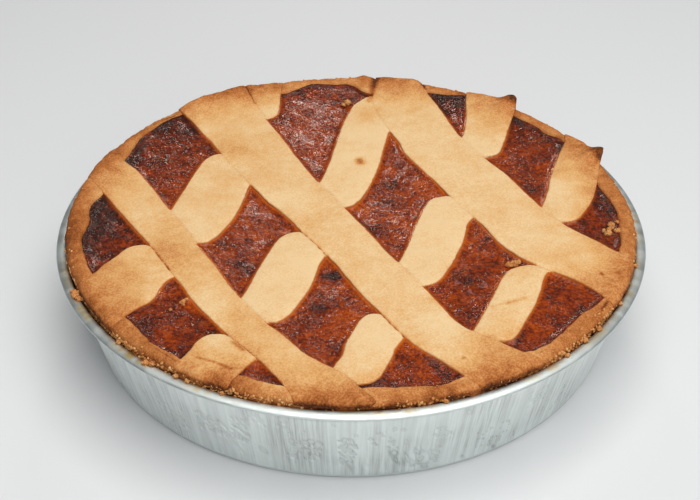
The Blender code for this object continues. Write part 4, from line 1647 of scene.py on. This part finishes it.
@dataclass
class LatticeStrip:
    """One rolled and cut strip, from rim to rim, with soft edges and its ends on the lip."""

    path: StripPath
    lattice: Lattice
    crust: Crust
    browning: Browning
    thickness: float = 3.4
    edge_round: float = 0.95
    crown: float = 0.10
    dip: float = 3.9  # how much lower its underside lies below an upper strip
    spacing: float = 0.62
    edge_steps: tuple = (0.0, 0.12, 0.32, 0.62, 1.05, 1.6)
    wall_rows: int = 5
    highest: float = CAD_BOX[1][2] / MM - 0.03

    def spread(self, count: int) -> Array:
        """Even places between the two rows of edge steps, from 0 to 1."""
        return np.linspace(0, 1, count + 2)[1:-1]

    def plan_grid(self) -> tuple[Array, Array, Array]:
        """Lay a grid over the strip, fine at its edges and trimmed to the lip.

        Returns:
            The places of the grid, the distance of each to its side edge, and which side is nearer.
        """
        path = self.path
        edge = np.array(self.edge_steps)
        last = edge[-1]
        across_count = int((path.left.mean() + path.right.mean()) / self.spacing)
        inner = self.spread(across_count)
        left, right = path.left[:, None], path.right[:, None]
        offset = np.concatenate((-(right - edge), -(right - last) + (left + right - 2 * last) * inner,
                                 (left - edge)[:, ::-1]), axis=1)
        lines = path.middle[:, None, :] + path.across[:, None, :] * offset[:, :, None]
        from_edge = np.minimum(left - offset, right + offset)
        side = np.where(left - offset < right + offset, 1.0, -1.0)
        x, y = lines[:, :, 0], lines[:, :, 1]
        reach = self.lattice.lid.inside_lip(x, y)
        rows = int(len(path.middle) * LINE_STEP / self.spacing)
        grid = np.empty((rows + 2 * len(edge), offset.shape[1], 4))
        index = np.arange(len(path.middle))
        for j in range(offset.shape[1]):
            first, final = self.ends(reach[:, j])
            step = edge / LINE_STEP
            middle = first + step[-1] + (final - first - 2 * step[-1]) * self.spread(rows)
            places = np.concatenate((first + step, middle, (final - step)[::-1]))
            for k, values in enumerate((x, y, from_edge, side)):
                grid[:, j, k] = np.interp(places, index, values[:, j])
        return grid[:, :, :2], grid[:, :, 2], grid[:, :, 3]

    @staticmethod
    def ends(reach: Array) -> tuple[float, float]:
        """Where a line along the strip enters and leaves the lip's outline.

        Args:
            reach: how far inside the outline each sample lies.

        Returns:
            The two places, as sample numbers.
        """
        inside = np.flatnonzero(reach > 0)
        first, final = inside[0], inside[-1]
        start = first - reach[first] / (reach[first] - reach[first - 1]) if first > 0 else 0.0
        end = float(final)
        if final < len(reach) - 1:
            end = final + reach[final] / (reach[final] - reach[final + 1])
        return start, end

    def neighbours(self) -> list[StripPath]:
        """The strips that may lie beside this one."""
        return [strip for strip in self.lattice.strips if strip is not self.path]

    def open_edge(self, points: Array, side: Array) -> Array:
        """How free an edge is.

        Args:
            points: x and y of each point.
            side: 1 where the left edge is nearer and -1 where the right one is.

        Returns:
            1 beside a window, down to 0 where other pastry meets the edge.
        """
        path = self.path
        index = path.nearest(points)
        outward = path.across[index] * np.sign(side)[:, None]
        beyond = path.middle[index] + outward * (path.half_width(index, side) + 0.9)[:, None]
        return 1 - ease((self.lattice.cover(beyond, self.neighbours()) + 0.6) / 1.4)

    def top_height(self, plan: Array, from_edge: Array, side: Array) -> Array:
        """Height of the strip's upper face.

        Args:
            plan: grid of places.
            from_edge: distance of each to its side edge.
            side: 1 where the left edge is nearer and -1 where the right one is.

        Returns:
            The height at each place.
        """
        lid = self.lattice.lid
        points = plan.reshape(-1, 2)
        x, y = points.T
        depth = np.clip(from_edge.reshape(-1), 0, None)
        free = self.open_edge(points, side.reshape(-1))
        rounded = np.clip(1 - depth / self.edge_round, 0, 1)
        soft = self.edge_round * (1 - np.sqrt(1 - rounded ** 2)) + 0.18 * hill(depth, 2.6)
        drop = free * soft + (1 - free) * self.lattice.seam(points, depth)
        sharp = 1 - 0.62 * np.clip(lid.lift(x, y) / 3.5, 0, 1)
        over_lip = np.clip(1 - lid.inside_lip(x, y) / (self.crust.lip_wide * sharp), 0, 1)
        drop = drop + self.crust.lip_high * sharp * (1 - np.sqrt(1 - over_lip ** 2)) * 0.8
        if self.path.plan.layer is Layer.LOWER:
            covered = self.lattice.strip_cover(points, self.lattice.upper)
            drop = drop + self.lattice.dive(points, covered) + self.lattice.seam(points, covered)
        crown = self.crown * ease(depth / 4)
        outer = ease((np.hypot(x, y) - 97) / 14)
        flat = np.column_stack((x, y, np.full(len(x), TIN_HEIGHT + 5)))
        rough = surface_relief(x, y) + outer * (0.10 * relief(flat, 1.7, 2.0) + 0.16 * lumps(flat))
        height = lid.height(x, y) + lid.lift(x, y) + crown + rough - drop
        return np.minimum(height, self.highest).reshape(from_edge.shape)

    def underside(self, plan: Array, top: Array) -> Array:
        """Height of the strip's lower face, which dips under the strips above.

        Args:
            plan: grid of places.
            top: height of the upper face at each.

        Returns:
            The height at each place.
        """
        x, y = plan[:, :, 0], plan[:, :, 1]
        lid = self.lattice.lid
        low = lid.height(x, y) + lid.lift(x, y) - self.thickness
        if self.path.plan.layer is Layer.LOWER:
            covered = self.lattice.strip_cover(plan.reshape(-1, 2), self.lattice.upper)
            low = low - self.dip * ease((covered.reshape(low.shape) + 6) / 9)
        return np.minimum(low, top - 0.4)

    def build(self, material: Material) -> Item:
        """Build and dress the strip.

        Args:
            material: its finish.

        Returns:
            The finished piece.
        """
        plan, from_edge, side = self.plan_grid()
        top = self.top_height(plan, from_edge, side)
        rows, columns = top.shape
        count = rows * columns
        upper = np.dstack((plan, top)).reshape(-1, 3)
        lower = np.dstack((plan, self.underside(plan, top))).reshape(-1, 3)
        ring = border(rows, columns)
        walls = [self.wall_ring(upper[ring], lower[ring], i / self.wall_rows)
                 for i in range(1, self.wall_rows)]
        points = np.concatenate((upper, lower, *walls))
        faces = grid_faces(rows, columns) + [face[::-1] for face in grid_faces(rows, columns, count)]
        rings = following_rings(list(ring), 2 * count, self.wall_rows - 1)
        faces += wall_faces([*rings, [count + corner for corner in ring]])
        node = self.path.plan.node
        item = new_piece(node.replace("strip", "pastry_strip"), points, faces, self.marks(points))
        return hand_over(item, material, PastryKind.STRIP.value, node)

    def wall_ring(self, above: Array, below: Array, t: float) -> Array:
        """One row of points down the strip's side, with the groove under the lip at its ends.

        Args:
            above: border of the upper face.
            below: border of the lower face.
            t: how far down the row lies, from 0 to 1.

        Returns:
            Its points.
        """
        ring = above + (below - above) * t
        x, y, z = ring.T
        radius = np.hypot(x, y)
        outer = self.lattice.lid.outer_radius(azimuth_of(x, y), True)
        push = self.crust.roughness(ring) * ease((radius - outer + 0.6) / 0.5)
        scale = 1 + np.minimum(push, np.clip(TIN_RADIUS - 0.15 - radius, 0, None)) / radius
        return np.column_stack((x * scale, y * scale, z))

    def marks(self, points: Array) -> dict:
        """Browning with some painted shade, and the stain of the filling low on the free sides.

        Args:
            points: the strip's points.

        Returns:
            The values at each point, by the name of their attribute.
        """
        x, y, z = points.T
        plan = points[:, :2]
        lift = self.lattice.lid.lift(x, y)
        radius = np.hypot(x, y)
        drop = self.lattice.lid.height(x, y) + lift - z
        outside = ease((radius - 110) / 4)
        level = self.browning.level(x, y) - 0.06 + self.browning.strips[self.path.plan.node]
        level = level + 0.10 * outside * ease((drop - 0.6) / 2.0)
        level = level + 0.20 * ease((drop - 1.2) / 1.5) * ease((radius - 98) / 8)
        level = level + 0.08 * (lumps(points) + grit(points)) * ease((radius - 106) / 6)
        level = level + 0.30 * outside * np.clip(lift / 3 - 0.4, 0, 1)
        depth = self.path.inside(plan)
        level = level + 0.55 * self.lattice.crack_stain(plan, depth)
        stain = ease((drop - 0.2) / 0.6) * ease(1 - depth / 0.8) * (1 - outside)
        stain = stain * (1 - ease(self.lattice.strip_cover(plan, self.neighbours()) + 1.0))
        return {"browning_and_shade": level, "stain": 0.9 * stain}


@dataclass
class Filling:
    """The custard, glossy and blistered where it shows in the windows.

    Its tables hold (x, y, spread, strength).
    """

    lattice: Lattice
    cells: int = 296
    below_lid: float = 1.7
    swell: float = 0.75
    swell_length: float = 17.0
    edge: float = 109.6
    crust_wall: float = 7.4
    foot_round: float = 3.0
    wall_rows: int = 4
    blisters: tuple = (
        (-7.5, -45, 3.8, 0.8), (-11, -66, 4.0, 0.7), (45, -50, 7, 0.3), (52, -38, 5, 0.35),
        (7.5, -12, 6, 0.3), (14, 6, 5, 0.3), (-43, -38, 6, 0.4), (-30, -6, 6, 0.2), (60, -44, 4, 0.3),
        (18, 20, 5, 0.3))
    tones: tuple = (
        (45, 96, 12, 0.30), (-106, 5, 14, 0.50), (-102, -20, 15, 0.30), (-74, 62, 22, 0.14),
        (-68, 76, 9, 0.25), (-95, 38, 8, 0.15), (-92, -68, 12, 0.06), (84, -72, 22, -0.08),
        (24, -102, 16, -0.10), (-35, -100, 10, -0.12), (-20, 100, 16, -0.12), (104, -12, 12, 0.02),
        (72, 78, 10, 0.10), (-8, -70, 16, -0.08), (48, -40, 16, -0.03))
    bubbles: tuple = (
        (40, -48, 2.6, 0.9), (45, -53, 2.2, 0.9), (51, -49, 2.4, 1.0), (56, -45, 2.0, 0.8),
        (44, -43, 2.2, 0.8), (50, -57, 1.8, 0.6), (-6, -43, 1.8, 0.7), (-9, -47, 1.6, 0.7),
        (-10, -65, 1.7, 0.6), (-14, -68, 1.4, 0.5))

    def disc(self) -> Array:
        """Lay a square grid over the round top by pressing it into a circle.

        Returns:
            x and y of each place of the grid.
        """
        steps = np.linspace(-1, 1, self.cells)
        a, b = np.meshgrid(steps, steps)
        wide = np.abs(a) > np.abs(b)
        radius = np.where(wide, a, b)
        with np.errstate(divide="ignore", invalid="ignore"):
            angle = np.where(wide, math.pi / 4 * b / a, math.pi / 2 - math.pi / 4 * a / b)
        angle = np.nan_to_num(angle)
        return np.stack((radius * np.cos(angle), radius * np.sin(angle)), axis=2) * self.edge

    def walls(self, edge: Array) -> list[Array]:
        """Rings of points below the top's edge, drawn in by the crust's wall.

        Args:
            edge: the points of the top's edge.

        Returns:
            The rings, from the top down.
        """
        foot = TinSizes.wall + AIR + BASE_CRUST + AIR
        rings = []
        for i in range(1, self.wall_rows + 1):
            t = i / self.wall_rows
            wall = edge.copy()
            wall[:, 2] = wall[:, 2] + (foot - wall[:, 2]) * t
            drawn_in = self.crust_wall + self.foot_round * ease((t - 0.7) / 0.3)
            now = np.hypot(wall[:, 0], wall[:, 1])
            wall[:, :2] *= (np.minimum(tin_inner_radius(wall[:, 2]) - drawn_in, now) / now)[:, None]
            rings.append(wall)
        return rings

    def build(self, material: Material) -> Item:
        """Build and dress the filling.

        Args:
            material: its finish.

        Returns:
            The finished piece.
        """
        points = self.disc().reshape(-1, 2)
        x, y = points.T
        reach = self.lattice.lid.window_radius(azimuth_of(x, y)) + 2.0
        stretch = 1 + (reach / self.edge - 1) * ease((np.hypot(x, y) - 85) / 24)
        points = points * stretch[:, None]
        height, marks = self.surface(points, self.lattice.cover(points, self.lattice.strips))
        top = np.column_stack((points, height))
        ring = border(self.cells, self.cells)
        points = np.concatenate((top, *self.walls(top[ring])))
        rings = following_rings(list(ring), len(top), self.wall_rows)
        faces = [*grid_faces(self.cells, self.cells), *wall_faces(rings), tuple(rings[-1])]
        hidden = np.full(len(points) - len(top), 0.5)
        marks = {name: np.concatenate((values, hidden)) for name, values in marks.items()}
        return hand_over(new_piece("custard", points, faces, marks), material, "filling", "filling")

    def surface(self, points: Array, cover: Array) -> tuple[Array, dict]:
        """Shape the top and mark where it is charred and where it glows.

        Args:
            points: x and y of the top.
            cover: depth under the pastry, below 0 in the windows.

        Returns:
            The height and the marks of each point.
        """
        x, y = points.T
        lid = self.lattice.lid
        radius = np.hypot(x, y)
        gap = np.clip(-cover, 0, None)
        open_part = ease(gap / 2.5)
        swells = flat_relief(x, y, self.swell_length, 5 / self.swell_length)
        folds = 1 - 2 * np.abs(flat_relief(x, y, 7.0, 2.7))
        level = lid.height(x, y) - self.below_lid + self.swell * swells
        level = level + open_part * (0.14 * folds + 0.10 * flat_relief(x, y, 3.6, 8.8))
        level = level + 0.75 * hill(gap, 1.3)
        for bx, by, size, rise in self.bubbles:
            level = level + rise * hill(np.hypot(x - bx, y - by), size)
        level = level - 1.6 * ease((cover - 0.6) / 2.0)
        level = np.minimum(level, lid.height(x, y) - 0.45)
        char = 0.31 + 0.16 * ease((radius - 62) / 46)
        behind = 0.6 + 0.4 * ease((y + 20) / 60)
        char = char + 0.26 * behind * ease((radius - lid.window_radius(azimuth_of(x, y)) + 7) / 7)
        char = char + spots(points, self.blisters) * (0.6 + 0.5 * folds) + spots(points, self.tones)
        char = char + 0.12 * swells + 0.10 * (0.5 - folds)
        # painted glow: light through the thin filling beside the strips, laid on as colour
        glow = hill(gap, 0.55) * (1 - ease((radius - 90) / 18)) * 0.85
        return level, {"char": char, "glow": glow}


@dataclass
class Crumbs:
    """The few crumbs on the pie, as (x, y, size), and beside it on the tin's bead.

    Those beside it are (azimuth, radius, height over the tin, size).
    """

    lattice: Lattice
    lying: tuple = (
        (105.6, -11.2, 1.4), (103.3, -16.7, 1.3), (107.3, -15, 1.2), (104.2, -13.6, 0.9), (108.2, -8.8, 0.9),
        (101.8, -14.6, 0.7), (-62.5, -61.7, 1.1), (-61.2, -59.8, 0.7), (-66.5, -66, 0.6),
        (63.2, -37.2, 1.4), (60.9, -37.9, 1.1), (65.2, -36, 0.9), (-1.7, 93.3, 1.5), (-3.6, 91.6, 0.9),
        (86.8, -69.5, 0.6), (85.2, -68, 0.5))
    beside: tuple = (
        (206.9, 116.8, 0.9, 1.7), (208.3, 116.2, 0.6, 1.2), (205.4, 117.4, 0.3, 0.8),
        (231.9, 117.0, 0.4, 1.2), (233.0, 116.4, 0.8, 1.0), (238.5, 116.4, 0.6, 0.9),
        (241.0, 116.5, 0.5, 0.8), (247.8, 116.6, 0.5, 0.8), (224.0, 116.3, 0.6, 0.9),
        (286.0, 116.5, 0.5, 0.8), (311.0, 116.7, 0.5, 0.8), (316.5, 116.2, 0.8, 1.0),
        (321.0, 116.3, 0.7, 0.9), (330.0, 116.3, 0.6, 0.9), (343.0, 116.3, 0.5, 0.8))
    browning_and_shade: float = 0.45

    def lump(self, shape: bmesh.types.BMesh, centre: tuple, size: float, seed: int) -> None:
        """Add one rough crumb.

        Args:
            shape: the mesh to add to.
            centre: its middle.
            size: its radius.
            seed: which crumb it is.
        """
        made = bmesh.ops.create_icosphere(shape, subdivisions=4, radius=size)
        for vertex in made["verts"]:
            across = vertex.co / size
            rough = noise.noise(across * 1.4 + Vector((seed * 3.7, 0, 0)))
            fine = noise.noise(across * 4.0 + Vector((0, seed * 5.1, 0)))
            finest = noise.noise(across * 9.0 + Vector((0, 0, seed * 2.3)))
            vertex.co *= 1 + 0.55 * rough + 0.50 * fine + 0.26 * finest
            vertex.co.z *= 0.8
            vertex.co += Vector(centre)

    def build(self, material: Material) -> Item:
        """Build and dress the crumbs.

        Args:
            material: their finish.

        Returns:
            The crumbs as one piece.
        """
        lid = self.lattice.lid
        shape = bmesh.new()
        for seed, (x, y, size) in enumerate(self.lying):
            level = float(lid.height(np.array([x]), np.array([y]))[0]) - 1.3 + 0.3 * size
            self.lump(shape, (x, y, level), size, seed)
        for seed, (azimuth, radius, height, size) in enumerate(self.beside):
            self.lump(shape, (*polar(radius, azimuth), TIN_HEIGHT + height), size, 40 + seed)
        mesh = bpy.data.meshes.new("crumbs")
        shape.to_mesh(mesh)
        shape.free()
        mesh.transform(((MM, 0, 0, 0), (0, MM, 0, 0), (0, 0, MM, 0), (0, 0, 0, 1)))
        attribute = mesh.attributes.new("browning_and_shade", "FLOAT", "POINT")
        attribute.data.foreach_set("value", np.full(len(mesh.vertices), self.browning_and_shade, np.float32))
        return hand_over(link("crumbs", mesh), material, PastryKind.RIM.value)


@dataclass
class LooseGrains:
    """Fine grains broken off the crust, scattered where its mark named crumbly is high."""

    density: float = 1.5  # grains on a square millimetre
    smallest: float = 0.20
    largest: float = 0.85
    bakes: tuple = (0.25, 0.65)  # the browning of the palest and of the darkest
    seed: int = 4

    def tree(self) -> bpy.types.NodeTree:
        """Build the Geometry Nodes tree that scatters the grains.

        Returns:
            The tree, with its inputs named.
        """
        tree = bpy.data.node_groups.new("loose_grains", "GeometryNodeTree")
        face = tree.interface
        face.new_socket(name="Geometry", in_out="INPUT", socket_type="NodeSocketGeometry")
        for name, kind in (("Density", "Float"), ("Smallest", "Float"), ("Largest", "Float"),
                           ("Seed", "Int"), ("Material", "Material")):
            face.new_socket(name=name, in_out="INPUT", socket_type="NodeSocket" + kind)
        face.new_socket(name="Geometry", in_out="OUTPUT", socket_type="NodeSocketGeometry")
        sheet = NodeSheet(tree)
        given = sheet.add("NodeGroupInput").outputs
        seed = given["Seed"]
        random = "FunctionNodeRandomValue"
        density = sheet.wire("GeometryNodeInputNamedAttribute", {"Name": "crumbly"}, "Attribute",
                             data_type="FLOAT") * given["Density"]
        spread = sheet.wire("GeometryNodeDistributePointsOnFaces",
                            {"Mesh": given["Geometry"], "Density": density, "Seed": seed}, "Points")
        palest, darkest = self.bakes
        tone = sheet.wire(random, {2: palest, 3: darkest, "Seed": seed}, 1, data_type="FLOAT")
        toned = sheet.wire("GeometryNodeStoreNamedAttribute",
                           {"Geometry": spread, "Name": "browning_and_shade", "Value": tone}, data_type="FLOAT",
                           domain="POINT")
        grain = sheet.wire("GeometryNodeMeshIcoSphere", {"Radius": 1.0, "Subdivisions": 1}, "Mesh")
        turn = sheet.wire(random, {1: (math.tau,) * 3, "Seed": seed}, data_type="FLOAT_VECTOR")
        size = sheet.wire(random, {0: given["Smallest"], 1: given["Largest"], "Seed": seed},
                          data_type="FLOAT_VECTOR")
        laid = sheet.wire("GeometryNodeInstanceOnPoints",
                          {"Points": toned, "Instance": grain, "Rotation": turn, "Scale": size})
        real = sheet.wire("GeometryNodeRealizeInstances", {"Geometry": laid})
        sheet.add("NodeGroupOutput", {0: sheet.wire(
            "GeometryNodeSetMaterial", {"Geometry": real, "Material": given["Material"]})})
        return tree

    def build(self, crust: Item, material: Material) -> Item:
        """Scatter grains over the finished crust.

        Args:
            crust: the piece that carries the mark named crumbly.
            material: the grains' material.

        Returns:
            The grains as one plain mesh.
        """
        item = link("loose_grains", crust.data.copy())
        modifier = item.modifiers.new("grains", "NODES")
        tree = self.tree()
        modifier.node_group = tree
        values = {"Density": self.density / MM ** 2, "Smallest": self.smallest * MM,
                  "Largest": self.largest * MM, "Seed": self.seed, "Material": material}
        for socket in tree.interface.items_tree:
            if socket.name in values:
                modifier[socket.identifier] = values[socket.name]
        graph = bpy.context.evaluated_depsgraph_get()
        mesh = bpy.data.meshes.new_from_object(item.evaluated_get(graph), depsgraph=graph,
                                               preserve_all_data_layers=True)
        item.modifiers.clear()
        item.data = mesh
        return hand_over(item, material, PastryKind.RIM.value)


# ---- studio


@dataclass(frozen=True)
class Studio:
    """Pale floor, soft lights and the camera."""

    target: tuple = (-0.00044, 0.0, 0.02553)
    distance: float = 0.5067
    elevation: float = 35.19
    lens: float = 61.7
    sensor: float = 36.0
    floor_half: float = 4.0

    def floor(self) -> None:
        """Add the floor, which is a stage."""
        half = self.floor_half
        mesh = bpy.data.meshes.new("studio_floor")
        corners = [(-half, -half, 0), (half, -half, 0), (half, half, 0), (-half, half, 0)]
        mesh.from_pydata(corners, [], [(0, 1, 2, 3)])
        item = link("studio_floor", mesh)
        material, _, shader = new_material("studio_floor")
        shader.inputs["Base Color"].default_value = (0.78, 0.79, 0.80, 1.0)
        shader.inputs["Roughness"].default_value = 0.6
        mesh.materials.append(material)

    def area(self, name: str, location: tuple, size: float, power: float, colour: tuple) -> None:
        """Add a square soft light that faces the pie.

        Args:
            name: the light's name.
            location: where it hangs, in metres.
            size: width of its square.
            power: its strength in watts.
            colour: its colour.
        """
        light = bpy.data.lights.new(name, "AREA")
        light.shape = "SQUARE"
        light.size = size
        light.energy = power
        light.color = colour
        item = link(name, light)
        item.location = location
        item.rotation_euler = (-Vector(location)).to_track_quat("-Z", "Y").to_euler()

    def build(self) -> None:
        """Add floor, lights, world and camera."""
        self.floor()
        self.area("light_overhead", (0.15, -0.15, 1.3), 1.3, 15.5, (1.0, 0.99, 0.97))
        self.area("light_back", (-0.05, 1.6, 0.85), 0.18, 1.8, (1.0, 0.94, 0.86))
        self.area("light_front", (0.4, -1.45, 1.1), 1.9, 15.5, (1.0, 1.0, 1.0))
        world = bpy.data.worlds.new("studio")
        world.use_nodes = True
        background = world.node_tree.nodes["Background"]
        background.inputs["Color"].default_value = (0.86, 0.89, 0.93, 1.0)
        background.inputs["Strength"].default_value = 0.13
        scene = bpy.context.scene
        scene.world = world
        scene.view_settings.view_transform = "Standard"
        camera = bpy.data.cameras.new("camera")
        camera.lens = self.lens
        camera.sensor_width = self.sensor
        item = link("camera", camera)
        tilt = math.radians(self.elevation)
        back = Vector((0, -math.cos(tilt), math.sin(tilt)))
        item.location = Vector(self.target) + back * self.distance
        item.rotation_euler = back.to_track_quat("Z", "Y").to_euler()
        scene.camera = item


def main() -> None:
    """Build the tin, the pie and the studio in order."""
    logging.basicConfig(level=logging.INFO, format="%(message)s", stream=sys.stdout)
    groups = Groups()
    rim_pastry = PastryFinish(groups, PastryKind.RIM, grain=0.6, relief=0.22).build()
    strip_pastry = PastryFinish(groups, PastryKind.STRIP).build()
    lattice = Lattice()
    browning = Browning()
    crust = Crust(lattice, browning)
    Tin().build(AluminiumFinish(groups).build())
    shell = crust.build(rim_pastry)
    Filling(lattice).build(CustardFinish(groups).build())
    for path in lattice.upper + lattice.lower:
        LatticeStrip(path, lattice, crust, browning).build(strip_pastry)
    Crumbs(lattice).build(rim_pastry)
    LooseGrains().build(shell, rim_pastry)
    Studio().build()


if __name__ == "__main__":
    main()
